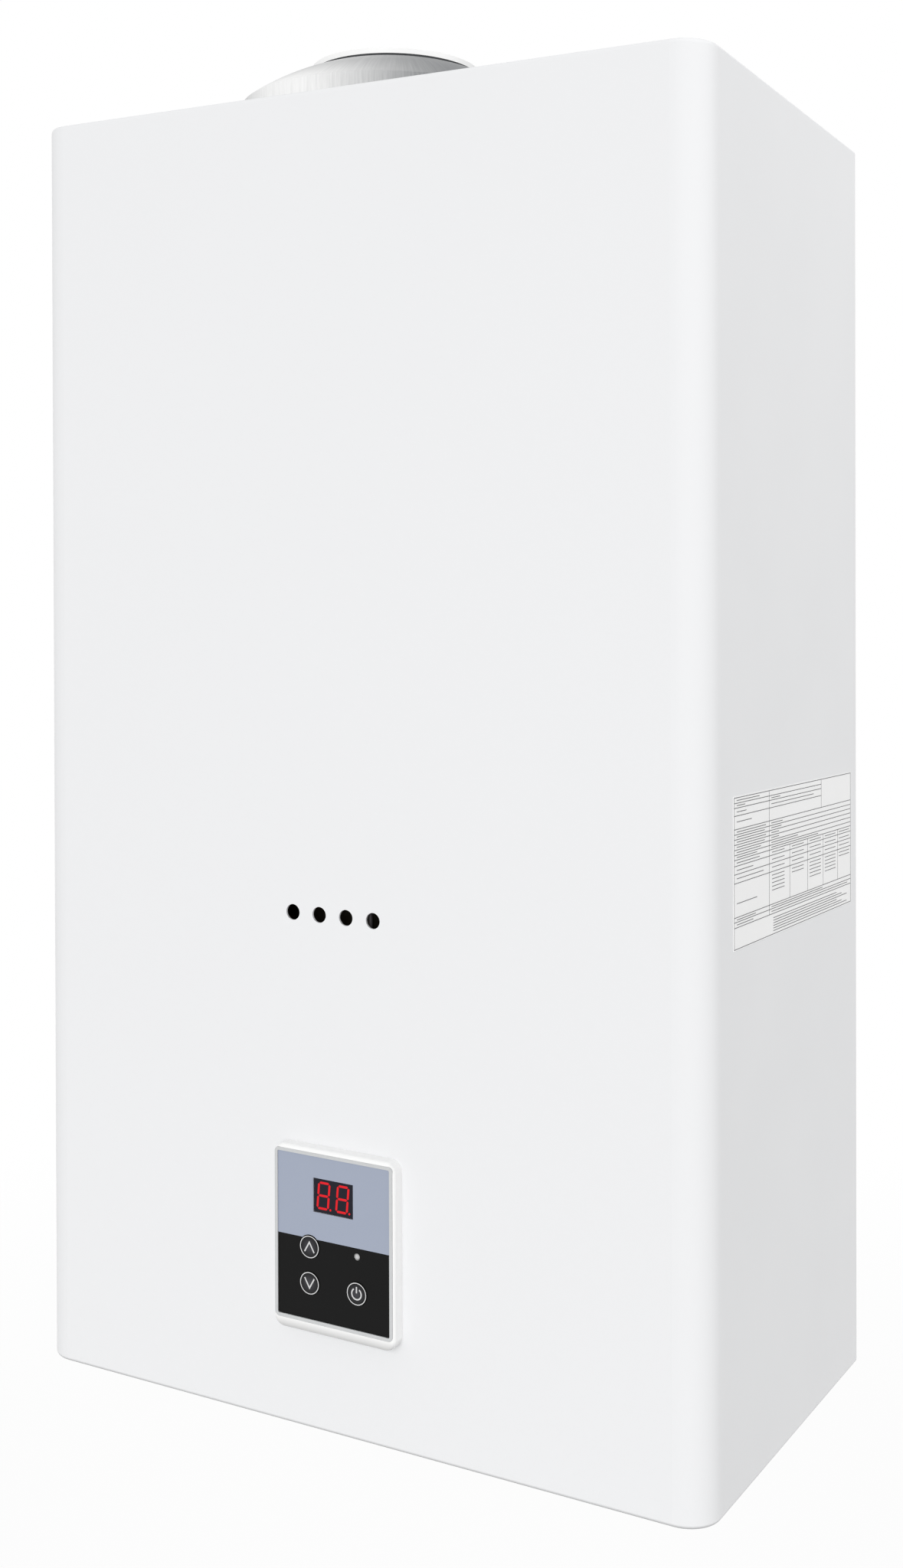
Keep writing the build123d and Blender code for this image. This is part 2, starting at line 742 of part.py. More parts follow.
def chamber_coil():
    """Copper tube wound about the chamber, from the cold pipe up to the exchanger."""
    reach = TUBE_R + TUBE_GAP
    left, right = CORE_X - CORE_W / 2 - reach, CORE_X + CORE_W / 2 + reach
    front, back = CORE_FRONT - reach, CORE_BACK + reach
    low, top = up(CHAMBER_H + COIL_LOW_RISE), up(TUBE_H)
    high = low + COIL_PITCH
    riser = -RISER_SETBACK
    inlet_y = tube_places()[0]
    out = left - COIL_END_OUT
    start = (right, riser, up(TRAY_H + COLD_JOIN_RISE))
    lower = [(right, riser, low), (right, front, low), (left, front, low), (left, back, low)]
    upper = [(right, back, low), (right, front, high), (left, front, high), (left, CORE_Y, high)]
    end = [(out, inlet_y, high), (out, inlet_y, top), (CORE_X - TUBE_REACH, inlet_y, top)]
    points = [start, *lower, *upper, *end]
    corner = CORE_R + reach
    radii = [CORE_R, corner, corner, corner, corner, corner, corner, corner, CORE_R, TUBE_BEND_R]
    return swept(FilletPolyline(*points, radius=radii), TUBE_R, TUBE_BORE_R)


# Burner and ignition

def blade_places():
    first = CORE_X - BLADE_PITCH * (BLADE_COUNT - 1) / 2
    return [first + BLADE_PITCH * i for i in range(BLADE_COUNT)]


def venturi_level():
    return up(TRAY_H) + RAIL_T + VENTURI_RISE


def burner_blades():
    """Row of hollow burner blades with slotted tops, each with a gas and air inlet at the front."""
    y0, y1 = CORE_Y - BLADE_L / 2, CORE_Y + BLADE_L / 2
    top = up(CHAMBER_H)
    low = up(TRAY_H) + RAIL_T
    half, w = BLADE_T / 2, BLADE_WALL
    blade = block(-half, half, y0, y1, low, top)
    blade -= block(w - half, half - w, y0 + w, y1 - w, low + w, top - w)
    count = int((BLADE_L - PORT_PITCH) / PORT_PITCH)
    first = CORE_Y - PORT_PITCH * (count - 1) / 2
    ports = []
    for i in range(count):
        y = first + PORT_PITCH * i
        ports.append(block(-PORT_L / 2, PORT_L / 2, y - PORT_W / 2, y + PORT_W / 2, top - 2 * w, top))
    ports.append(rod_y(0, y0, y0 + 2 * w, venturi_level(), VENTURI_D / 2))
    blade -= ports
    return group([Pos(x, 0, 0) * blade for x in blade_places()])


def burner_tray():
    """Sheet tray with two rails that carry the blades."""
    outer, inner = Rectangle(CORE_W, CORE_D), Rectangle(CORE_W - 2 * CORE_T, CORE_D - 2 * CORE_T)
    tray = ring_wall(outer, inner, up(TRAY_H), up(CHAMBER_H))
    half = CORE_W / 2
    for y in (CORE_Y - BLADE_L / 2 + RAIL_INSET, CORE_Y + BLADE_L / 2 - RAIL_INSET):
        tray += block(CORE_X - half, CORE_X + half, y - RAIL_W / 2, y + RAIL_W / 2,
                      up(TRAY_H), up(TRAY_H) + RAIL_T)
    for x in blade_places():
        tray -= rod_y(x, CORE_FRONT - CORE_T, CORE_FRONT + 2 * CORE_T, venturi_level(), VENTURI_D / 2)
    for x in (SPARK_X, SENSE_X):
        z = up(CHAMBER_H) - INSULATOR_L / 2
        tray += block(x - INSULATOR_R, x + INSULATOR_R, CORE_FRONT, electrode_y() - INSULATOR_R - TUBE_GAP,
                      z - INSULATOR_R, z + INSULATOR_R)
    for x in ear_places():
        tray -= rod_y(x, CORE_FRONT - CORE_T, CORE_FRONT + 2 * CORE_T, venturi_level(), PIN_SCREW_R + PIN_GAP)
    return tray


def manifold_back():
    return CORE_FRONT - MANIFOLD_GAP


def manifold_half():
    return BLADE_PITCH * (BLADE_COUNT - 1) / 2 + INJECTOR_D


def ear_places():
    reach = manifold_half() - INJECTOR_D - BLADE_PITCH / 2
    return [CORE_X - reach, CORE_X + reach]


def gas_manifold():
    """Cast bar that feeds every injector, on two feet against the tray."""
    half = manifold_half()
    z = venturi_level()
    front = manifold_back() - MANIFOLD_D
    bar = block(CORE_X - half, CORE_X + half, front, manifold_back(), z - MANIFOLD_L / 2, z + MANIFOLD_L / 2)
    bar = fillet(bar.edges().filter_by(Axis.X), MANIFOLD_EDGE_R)
    middle = manifold_back() - MANIFOLD_D / 2
    bar -= rod_x(CORE_X - half + EAR_W / 2, CORE_X + half - EAR_W / 2, middle, z, MANIFOLD_BORE_R)
    bar -= rod_z(GAS_X, middle, z - MANIFOLD_L, z, ELBOW_BORE_R - TUBE_GAP)
    for x in blade_places():
        bar -= rod_y(x, middle, manifold_back(), z, INJECTOR_BORE_D)
    for x in ear_places():
        foot = rod_y(x, manifold_back(), CORE_FRONT, z, INJECTOR_D / 2)
        bar = bar + foot - rod_y(x, front, CORE_FRONT, z, PIN_SCREW_R + PIN_GAP)
    return bar


def injectors():
    """Brass injectors that point into the blade inlets."""
    y0, y1 = manifold_back(), CORE_FRONT + INJECTOR_REACH
    nozzle = rod_y(0, y0, y1, venturi_level(), INJECTOR_D / 2)
    nozzle -= rod_y(0, y0, y1, venturi_level(), INJECTOR_BORE_D / 2)
    return group([Pos(x, 0, 0) * nozzle for x in blade_places()])


def electrode_y():
    """Depth of the electrodes, between the tray wall and the blades."""
    return (CORE_FRONT + CORE_T + CORE_Y - BLADE_L / 2) / 2


def electrode_rods():
    """Spark and flame-sensing rods, bent in over the flames."""
    y = electrode_y()
    base = up(CHAMBER_H) - INSULATOR_L
    rods = []
    for x in (SPARK_X, SENSE_X):
        top = up(CHAMBER_H) + ROD_RISE
        points = [(x, y, base - ROD_RISE / 2), (x, y, top), (x, y + ROD_RISE / 2, top - ROD_RISE / 2)]
        rods.append(swept(FilletPolyline(*points, radius=ROD_BEND_R), ROD_R))
    return group(rods)


def electrode_insulators():
    """Ceramic sleeves that carry the rods."""
    y = electrode_y()
    top = up(CHAMBER_H)
    sleeves = []
    for x in (SPARK_X, SENSE_X):
        sleeve = rod_z(x, y, top - INSULATOR_L, top, INSULATOR_R)
        sleeves.append(sleeve - rod_z(x, y, top - INSULATOR_L, top, ROD_R + RUN_GAP))
    return group(sleeves)


# Gas valve

def valve_y():
    return (VALVE_FRONT_Y + VALVE_BACK_Y) / 2


def gas_valve_body():
    """Cast valve block: inlet, plunger chamber with its seat, plug bore and outlet."""
    half = VALVE_W / 2
    y, z, out = valve_y(), up(PLUNGER_H), up(OUTLET_H)
    left, right = GAS_X - half, GAS_X + half
    low = up(VALVE_TOP_H - VALVE_H)
    body = block(left, right, VALVE_FRONT_Y, VALVE_BACK_Y, low, up(VALVE_TOP_H))
    body = fillet(body.edges().filter_by(Axis.Z), VALVE_EDGE_R)
    body += rod_z(GAS_X, PIPE_Y, gas_seat_top(), low, COLD_BODY_R)
    body += rod_x(left - COIL_BOSS_L, left, y, z, COIL_R)
    seat = GAS_X + SEAT_X
    body -= rod_z(GAS_X, PIPE_Y, gas_seat_top(), z + PASSAGE_R, PIPE_BORE_R)
    body -= rod_y(GAS_X, y, PIPE_Y, z, PASSAGE_R)
    body -= rod_x(left - COIL_BOSS_L, seat, y, z, CHAMBER_BORE_R)
    bypass = GAS_X + BYPASS_X
    body -= rod_x(seat, bypass + PASSAGE_R, y, z, SEAT_BORE_R)
    body -= rod_z(bypass, y, z, out, PASSAGE_R)
    body -= rod_x(right - PLUG_L, right, y, out, PLUG_R + RUN_GAP)
    body -= rod_x(GAS_X - PASSAGE_R, right - PLUG_L, y, out, PASSAGE_R)
    body -= rod_y(GAS_X, VALVE_FRONT_Y, y, out, ELBOW_BORE_R)
    return body


def gas_seat_top():
    """Level where the valve block stands on the gas inlet fitting."""
    return up(HOT_BODY_H)


def coil_face():
    return GAS_X - VALVE_W / 2 - COIL_BOSS_L


def solenoid_coil():
    """Coil that draws the plunger back, bored for its core and closed behind."""
    y, z = valve_y(), up(PLUNGER_H)
    end = coil_face() - COIL_L
    coil = rod_x(end, coil_face(), y, z, COIL_R)
    return coil - rod_x(end + COIL_CAP_T, coil_face(), y, z, CORE_ROD_R + RUN_GAP)


def solenoid_plunger():
    """Core rod with the valve disc that shuts the gas off."""
    y, z = valve_y(), up(PLUNGER_H)
    face = GAS_X + SEAT_X - DISC_GAP
    rear = coil_face() - COIL_L + COIL_CAP_T + 2 * PLUNGER_TRAVEL
    return rod_x(rear, face, y, z, CORE_ROD_R) + rod_x(face - DISC_T, face, y, z, DISC_R)


def plunger_spring():
    """Closing spring between the coil and the disc."""
    y, z = valve_y(), up(PLUNGER_H)
    x0 = coil_face() + SPRING_WIRE_R + DISC_GAP
    x1 = GAS_X + SEAT_X - DISC_GAP - DISC_T - SPRING_WIRE_R - DISC_GAP
    quarter = 4 * SPRING_TURNS
    places = [(x0 + (x1 - x0) * i / quarter, math.tau * i / 4) for i in range(quarter + 1)]
    points = [(x, y + SPRING_R * math.cos(a), z + SPRING_R * math.sin(a)) for x, a in places]
    middles = []
    for (xa, a), (xb, b) in zip(places, places[1:]):
        c = (a + b) / 2
        middles.append(((xa + xb) / 2, y + SPRING_R * math.cos(c), z + SPRING_R * math.sin(c)))
    edges = [ThreePointArc(p, m, n) for p, m, n in zip(points, middles, points[1:])]
    return swept(Wire(edges), SPRING_WIRE_R)


def modulator_motor():
    """Stepper motor on the right face of the valve, open where the spindle enters."""
    y, out = valve_y(), up(OUTLET_H)
    right = GAS_X + VALVE_W / 2
    motor = rod_x(right, right + MOTOR_L, y, out, MOTOR_R - MOTOR_WALL)
    motor += block(right, right + MOTOR_WALL, y - MOTOR_R, y + MOTOR_R, out - MOTOR_R + MOTOR_WALL,
                   out + MOTOR_R - MOTOR_WALL)
    return motor - rod_x(right, right + MOTOR_L - MOTOR_WALL, y, out, SPINDLE_R + RUN_GAP)


def modulator_spindle():
    """Motor spindle with the slotted plug that throttles the gas."""
    y, out = valve_y(), up(OUTLET_H)
    right = GAS_X + VALVE_W / 2
    plug = rod_x(right - PLUG_L + SLIDE_GAP, right - SLIDE_GAP, y, out, PLUG_R)
    half = PASSAGE_R / 2
    plug -= block(right - PLUG_L, right - PLUG_L / 2, y - 2 * PLUG_R, y, out - half, out + half)
    return plug + rod_x(right - PLUG_L / 2, right + MOTOR_L - MOTOR_WALL - SLIDE_GAP, y, out, SPINDLE_R)


def gas_elbow():
    """Tube from the valve outlet up into the manifold."""
    z, top = up(OUTLET_H), venturi_level() - MANIFOLD_L / 2
    y = manifold_back() - MANIFOLD_D / 2
    points = [(GAS_X, VALVE_FRONT_Y, z), (GAS_X, y, z), (GAS_X, y, top)]
    return swept(FilletPolyline(*points, radius=ELBOW_BEND), ELBOW_R, ELBOW_BORE_R)


# Pipe connections

def pipe_stub(x, body_r, body_h):
    """Half-inch male connection through the floor, with its flange and a body above."""
    low = CASE_BOTTOM - SHOULDER_DROP
    stub = rod_z(x, PIPE_Y, low - THREAD_L, low, THREAD_R)
    stub += rod_z(x, PIPE_Y, low, FLOOR_TOP, SHOULDER_R)
    stub += rod_z(x, PIPE_Y, FLOOR_TOP, FLOOR_TOP + PIPE_FLANGE_T, PIPE_FLANGE_R)
    return stub + rod_z(x, PIPE_Y, FLOOR_TOP, up(body_h), body_r)


def pipe_bore(x, z_top, radius=PIPE_BORE_R):
    return rod_z(x, PIPE_Y, CASE_BOTTOM - SHOULDER_DROP - THREAD_L, z_top, radius)


def gas_inlet_fitting():
    return pipe_stub(GAS_X, COLD_BODY_R, HOT_BODY_H) - pipe_bore(GAS_X, up(HOT_BODY_H))


def hot_outlet_fitting():
    """Hot outlet, stepped down to the pipe bore at its top."""
    top = up(HOT_BODY_H)
    fitting = pipe_stub(HOT_X, HOT_BODY_R, HOT_BODY_H)
    return fitting - pipe_bore(HOT_X, top - PIPE_FLANGE_T) - pipe_bore(HOT_X, top, TUBE_BORE_R)


def drain_x():
    return COLD_X + DRAIN_REACH


def cold_inlet_fitting():
    """Cold inlet with the side branch that ends in the drain valve."""
    z = up(DRAIN_ARM_H)
    low = CASE_BOTTOM - DRAIN_BOTTOM_DROP
    fitting = pipe_stub(COLD_X, COLD_BODY_R, COLD_BODY_H)
    fitting += rod_x(COLD_X, drain_x(), PIPE_Y, z, DRAIN_ARM_R)
    fitting += rod_z(drain_x(), PIPE_Y, low, up(DRAIN_TOP_H), DRAIN_R)
    fitting -= pipe_bore(COLD_X, up(COLD_BODY_H))
    fitting -= rod_x(COLD_X, drain_x(), PIPE_Y, z, DRAIN_PASSAGE_R)
    return fitting - rod_z(drain_x(), PIPE_Y, low, z + DRAIN_BORE_R, DRAIN_BORE_R)


def drain_knob():
    """Fluted knob on the stem that closes the drain."""
    top = CASE_BOTTOM - DRAIN_BOTTOM_DROP - KNOB_GAP
    knob = rod_z(drain_x(), PIPE_Y, top - KNOB_L, top, KNOB_R)
    for i in range(KNOB_FLUTES):
        a = math.tau * i / KNOB_FLUTES
        x, y = drain_x() + KNOB_R * math.cos(a), PIPE_Y + KNOB_R * math.sin(a)
        knob -= rod_z(x, y, top - KNOB_L, top, KNOB_FLUTE_R)
    return knob + rod_z(drain_x(), PIPE_Y, top, top + KNOB_STEM_L, DRAIN_BORE_R - RUN_GAP)


def lock_nuts():
    """Hexagon nuts that clamp the three connections to the floor."""
    nuts = []
    for x in (HOT_X, GAS_X, COLD_X):
        nut = hex_z(x, PIPE_Y, FLOOR_LOW - LOCKNUT_T, FLOOR_LOW, LOCKNUT_FLATS)
        nuts.append(nut - rod_z(x, PIPE_Y, FLOOR_LOW - LOCKNUT_T, FLOOR_LOW, SHOULDER_R + NUT_GAP))
    return group(nuts)


# Water side

def flow_housing():
    """Flow sensor housing on the cold inlet, with a neck for the cold pipe."""
    low, top, neck = up(COLD_BODY_H), up(FLOW_H), up(FLOW_NECK_H)
    housing = rod_z(COLD_X, PIPE_Y, low, top, FLOW_R) + rod_z(COLD_X, PIPE_Y, top, neck, HOT_BODY_R)
    housing -= rod_z(COLD_X, PIPE_Y, low, low + FLOW_END_T, PIPE_BORE_R)
    housing -= rod_z(COLD_X, PIPE_Y, low + FLOW_END_T, top - FLOW_END_T, FLOW_BORE_R)
    return housing - rod_z(COLD_X, PIPE_Y, top - FLOW_END_T, neck, TUBE_BORE_R)


def rotor_middle():
    return up((COLD_BODY_H + FLOW_H) / 2)


def flow_axle():
    """Fixed axle held in the bore by a cross at each end."""
    z = rotor_middle()
    reach = ROTOR_L / 2 + ROTOR_PLAY
    axle = rod_z(COLD_X, PIPE_Y, z - reach - ARM_T, z + reach + ARM_T, AXLE_R)
    arm = FLOW_BORE_R - RUN_GAP
    for z0 in (z - reach - ARM_T, z + reach):
        axle += block(COLD_X - arm, COLD_X + arm, PIPE_Y - ARM_W / 2, PIPE_Y + ARM_W / 2, z0, z0 + ARM_T)
        axle += block(COLD_X - ARM_W / 2, COLD_X + ARM_W / 2, PIPE_Y - arm, PIPE_Y + arm, z0, z0 + ARM_T)
    return axle & rod_z(COLD_X, PIPE_Y, z - FLOW_H, z + FLOW_H, arm)


def flow_rotor():
    """Vaned rotor that the cold water spins."""
    z = rotor_middle()
    vanes = []
    for i in range(ROTOR_VANES):
        vane = Pos(ROTOR_R / 2, 0, 0) * Rot(ROTOR_TWIST, 0, 0) * Box(ROTOR_R, ARM_W / 2, ROTOR_L)
        vanes.append(Rot(0, 0, 360 * i / ROTOR_VANES) * vane)
    rotor = Cylinder(ROTOR_HUB_R, ROTOR_L) + vanes
    rotor = rotor & Cylinder(ROTOR_R, ROTOR_L)
    return Pos(COLD_X, PIPE_Y, z) * (rotor - Cylinder(AXLE_R + RUN_GAP, ROTOR_L))


def cold_pipe():
    """Copper pipe from the flow sensor to the coil's riser."""
    right = CORE_X + CORE_W / 2 + TUBE_R + TUBE_GAP
    riser = -RISER_SETBACK
    points = [(COLD_X, PIPE_Y, up(FLOW_NECK_H)), (COLD_X, PIPE_Y, up(COLD_BEND_LOW_H)),
              (right, riser, up(COLD_BEND_HIGH_H)), (right, riser, up(TRAY_H + COLD_JOIN_RISE))]
    return swept(FilletPolyline(*points, radius=COLD_BEND_R), TUBE_R, TUBE_BORE_R)


def hot_drop_x():
    return CORE_X - TUBE_REACH - HOT_DROP_OUT


def hot_pipe():
    """Copper pipe from the exchanger down to the hot outlet."""
    y = tube_places()[-1]
    z = up(TUBE_H)
    x = hot_drop_x()
    points = [(CORE_X - TUBE_REACH, y, z), (x, y, z), (x, y, up(HOT_BEND_H)), (x, PIPE_Y, up(HOT_CROSS_H)),
              (HOT_X, PIPE_Y, up(HOT_CROSS_H)), (HOT_X, PIPE_Y, up(HOT_BODY_H))]
    radii = [TUBE_BEND_R, HOT_BEND_R, HOT_BEND_R, HOT_BEND_R]
    return swept(FilletPolyline(*points, radius=radii), TUBE_R, TUBE_BORE_R)


def overheat_thermostat():
    """Clip-on thermostat around the hot pipe."""
    x, y, z = hot_drop_x(), tube_places()[-1], up(CHAMBER_H + OVERHEAT_RISE)
    half = CLIP_W / 2
    clip = block(x - half, x + half, y - half, y + half, z - CLIP_L / 2, z + CLIP_L / 2)
    clip += rod_y(x, y - half - STAT_T, y - half, z, STAT_D / 2)
    return clip - rod_z(x, y, z - CLIP_L, z + CLIP_L, TUBE_R + RUN_GAP)


# Battery box

def battery_plan():
    """Outer limits of the battery box in plan."""
    width = 4 * CELL_R + 3 * CELL_GAP + 2 * BOX_WALL
    depth = 2 * CELL_R + 2 * CELL_GAP + 2 * BOX_WALL
    y0 = FRONT_Y + BOX_SETBACK
    return BOX_X, BOX_X + width, y0, y0 + depth


def cell_places():
    x0, _, y0, y1 = battery_plan()
    first = x0 + BOX_WALL + CELL_GAP + CELL_R
    return [(first + i * (2 * CELL_R + CELL_GAP), (y0 + y1) / 2) for i in range(2)]


def cell_base():
    return CASE_BOTTOM - BOX_DROP


def box_ceiling():
    return cell_base() + CELL_L + CONTACT_T


def hinge_place():
    """Axis of the battery door, just behind the box."""
    _, _, _, y1 = battery_plan()
    return y1 + BARREL_R + HOLE_GAP, CASE_BOTTOM - BOX_DROP - DOOR_GAP - DOOR_T / 2


def battery_box():
    """Open-bottomed box for two cells, with a seating flange and two hinge ears."""
    x0, x1, y0, y1 = battery_plan()
    box = block(x0, x1, y0, y1, cell_base(), box_ceiling() + BOX_WALL)
    lip = BOX_FLANGE
    box += block(x0 - lip, x1 + lip, y0 - lip, y1 + lip, FLOOR_TOP, FLOOR_TOP + BOX_FLANGE_T)
    y, z = hinge_place()
    for x in (x0, x1 - HINGE_EAR_W):
        ear_top = FLOOR_LOW - HOLE_GAP
        box += block(x, x + HINGE_EAR_W, y1, y + BARREL_R, z, ear_top)
        box += rod_x(x, x + HINGE_EAR_W, y, z, BARREL_R)
        box -= rod_x(x, x + HINGE_EAR_W, y, z, HINGE_PIN_R + RUN_GAP)
    w = BOX_WALL
    return box - block(x0 + w, x1 - w, y0 + w, y1 - w, cell_base(), box_ceiling())


def battery_door():
    """Hinged door under the cells, with its barrel, stub pins and finger latch."""
    x0, x1, y0, y1 = battery_plan()
    y, z = hinge_place()
    low, top = z - DOOR_T / 2, z + DOOR_T / 2
    inner0, inner1 = x0 + HINGE_EAR_W + SLIDE_GAP, x1 - HINGE_EAR_W - SLIDE_GAP
    door = block(x0, x1, y0, y1 - HOLE_GAP, low, top)
    door = fillet(door.edges().filter_by(Axis.Z), BOX_WALL)
    door += block(inner0, inner1, y1 - 2 * BARREL_R, y, low, top)
    door += rod_x(inner0, inner1, y, z, BARREL_R)
    door += rod_x(x0, x1, y, z, HINGE_PIN_R)
    middle = (x0 + x1) / 2
    door += block(middle - LATCH_W / 2, middle + LATCH_W / 2, y0, y0 + LATCH_L, low - DOOR_T / 2, low)
    return door


def batteries():
    """Two D cells, standing nub up."""
    cells = []
    for x, y in cell_places():
        top = cell_base() + CELL_L
        cell = rod_z(x, y, cell_base(), top - CELL_NUB_L, CELL_R)
        cells.append(cell + rod_z(x, y, top - CELL_NUB_L, top, CELL_NUB_R))
    return group(cells)


def battery_contacts():
    """Contact plates under the ceiling of the box."""
    half = CONTACT_W / 2
    low = cell_base() + CELL_L
    plates = [block(x - half, x + half, y - half, y + half, low, low + CONTACT_T) for x, y in cell_places()]
    return group(plates)


# Controller and leads

def control_plan():
    y0 = FRONT_Y + COVER_T + CONTROL_SETBACK
    return CONTROL_X, CONTROL_X + CONTROL_W, y0, y0 + CONTROL_D


def controller_case():
    """Open-fronted plastic case for the ignition and control board."""
    x0, x1, y0, y1 = control_plan()
    w = CONTROL_WALL
    case = block(x0, x1, y0 + w, y1, FLOOR_TOP, FLOOR_TOP + CONTROL_L)
    case = fillet(case.edges().filter_by(Axis.Y), w)
    return case - block(x0 + w, x1 - w, y0 + w, y1 - w, FLOOR_TOP + w, FLOOR_TOP + CONTROL_L - w)


def controller_lid():
    """Front lid of the controller, with a rim that fits inside the case."""
    x0, x1, y0, _ = control_plan()
    w = CONTROL_WALL
    lid = block(x0, x1, y0, y0 + w, FLOOR_TOP, FLOOR_TOP + CONTROL_L)
    lid = fillet(lid.edges().filter_by(Axis.Y), w)
    g = w + RUN_GAP
    rim = block(x0 + g, x1 - g, y0 + w, y0 + 2 * w, FLOOR_TOP + g, FLOOR_TOP + CONTROL_L - g)
    return lid + rim


def lead(points):
    return swept(FilletPolyline(*points, radius=LEAD_BEND_R), LEAD_R)


def wiring_leads():
    """Leads from the controller to the electrodes, thermostats, panel, valve and battery box."""
    routes = [spark_route(), sense_route(), spill_route(), panel_route(), valve_route(), power_route()]
    return group([lead(points) for points in routes] + [panel_plug()])


def lead_exit(number):
    """Place of a numbered lead on top of the controller."""
    x0, _, _, y1 = control_plan()
    return x0 + number * LEAD_PITCH, y1 - LEAD_PITCH, FLOOR_TOP + CONTROL_L


def electrode_tail():
    return up(CHAMBER_H) - INSULATOR_L - ROD_RISE / 2


def electrode_route(number, x, drop):
    """Lead that runs under the tray and rises to the tail of an electrode."""
    x0, y0, z0 = lead_exit(number)
    z = up(TRAY_H) - drop
    y = electrode_y()
    return [(x0, y0, z0), (x0, y0, z), (x, y, z), (x, y, electrode_tail())]


def spark_route():
    return electrode_route(1, SPARK_X, 2 * LEAD_PITCH)


def sense_route():
    return electrode_route(2, SENSE_X, LEAD_PITCH)


def spill_route():
    """Lead that climbs behind the front of the cover to the blocked-flue thermostat."""
    x0, y0, z0 = lead_exit(4)
    sx, sy, sz = spill_place()
    lane = FRONT_Y + COVER_T + LEAD_LANE
    end = sx - HOOD_T - STAT_T
    out = end - LEAD_PITCH
    low = z0 + 2 * LEAD_PITCH
    return [(x0, y0, z0), (x0, y0, low), (SPILL_LEAD_X, lane, low + 2 * LEAD_PITCH), (SPILL_LEAD_X, lane, sz),
            (out, lane, sz), (out, sy, sz), (end, sy, sz)]


def panel_route():
    """Lead from the side of the controller to the plug behind the panel."""
    x0, _, _, y1 = control_plan()
    y, high = y1 - LEAD_PITCH, panel_level()
    low = high - 2 * LEAD_PITCH
    plug = plug_front() + PLUG_T
    return [(x0, y, low), (x0 - LEAD_PITCH, y, low), (0, plug + 2 * LEAD_PITCH, high), (0, plug, high)]


def valve_route():
    """Lead from the back of the controller to the modulating motor."""
    x0, _, _, y1 = control_plan()
    motor = GAS_X + VALVE_W / 2 + MOTOR_L
    z = up(OUTLET_H)
    return [(x0 + LEAD_PITCH, y1, panel_level()), (x0 + LEAD_PITCH, y1 + LEAD_PITCH, panel_level()),
            (motor + LEAD_PITCH, valve_y(), z), (motor, valve_y(), z)]


def power_route():
    """Lead along the floor from the battery box to the controller."""
    x0 = control_plan()[0]
    x1 = battery_plan()[1]
    y = cell_places()[0][1]
    high, low = FLOOR_TOP + 4 * LEAD_PITCH, FLOOR_TOP + LEAD_PITCH
    return [(x1, y, high), (x1 + LEAD_PITCH, y, high), (x1 + LEAD_PITCH, y, low), (x0 - LEAD_PITCH, y, low),
            (x0 - LEAD_PITCH, y, high), (x0, y, high)]


def plug_front():
    """Front of the panel plug, clear of the header on the board."""
    return board_front() + BOARD_T + HEADER_T + SLIDE_GAP


def panel_plug():
    """Plug on the end of the panel lead, facing the header on the panel board."""
    half = HEADER_W / 2
    z = panel_level()
    return block(-half, half, plug_front(), plug_front() + PLUG_T, z - half / 2, z + half / 2)


# Control panel

def face_floor():
    """Depth of the recess floor in the bezel face."""
    return FRONT_Y - PANEL_RISE + TRIM_T


def face_back():
    return face_floor() + PANEL_FACE_T


def overlay_front():
    return face_floor() - OVERLAY_T


def board_front():
    return FRONT_Y + BOARD_SETBACK


def button_places():
    """Up, down and power buttons and the lamp, as X and level."""
    z = panel_level()
    upper, lower = z - BUTTON_UP_DROP, z - BUTTON_LOW_DROP
    return {"up": (-BUTTON_X, upper), "down": (-BUTTON_X, lower), "power": (BUTTON_X, lower),
            "lamp": (BUTTON_X, upper)}


def face_cuts(y_back, y_front):
    """Display window, button holes and lamp hole through the panel face."""
    window = Rectangle(DISPLAY_W, DISPLAY_L)
    cuts = [prism_y(window, 0, panel_level() + DISPLAY_RISE, y_back, y_front)]
    for name, (x, z) in button_places().items():
        radius = LED_D / 2 + LED_GAP if name == "lamp" else BUTTON_D / 2 + BUTTON_GAP
        cuts.append(rod_y(x, y_front, y_back, z, radius))
    return cuts


def boss_places():
    x = PANEL_W / 2 - SKIRT_INSET - PANEL_WALL - BOSS_D / 2
    z = PANEL_L / 2 - SKIRT_INSET - PANEL_WALL - BOSS_D / 2
    return [(sx * x, panel_level() + sz * z) for sx in (-1, 1) for sz in (-1, 1)]


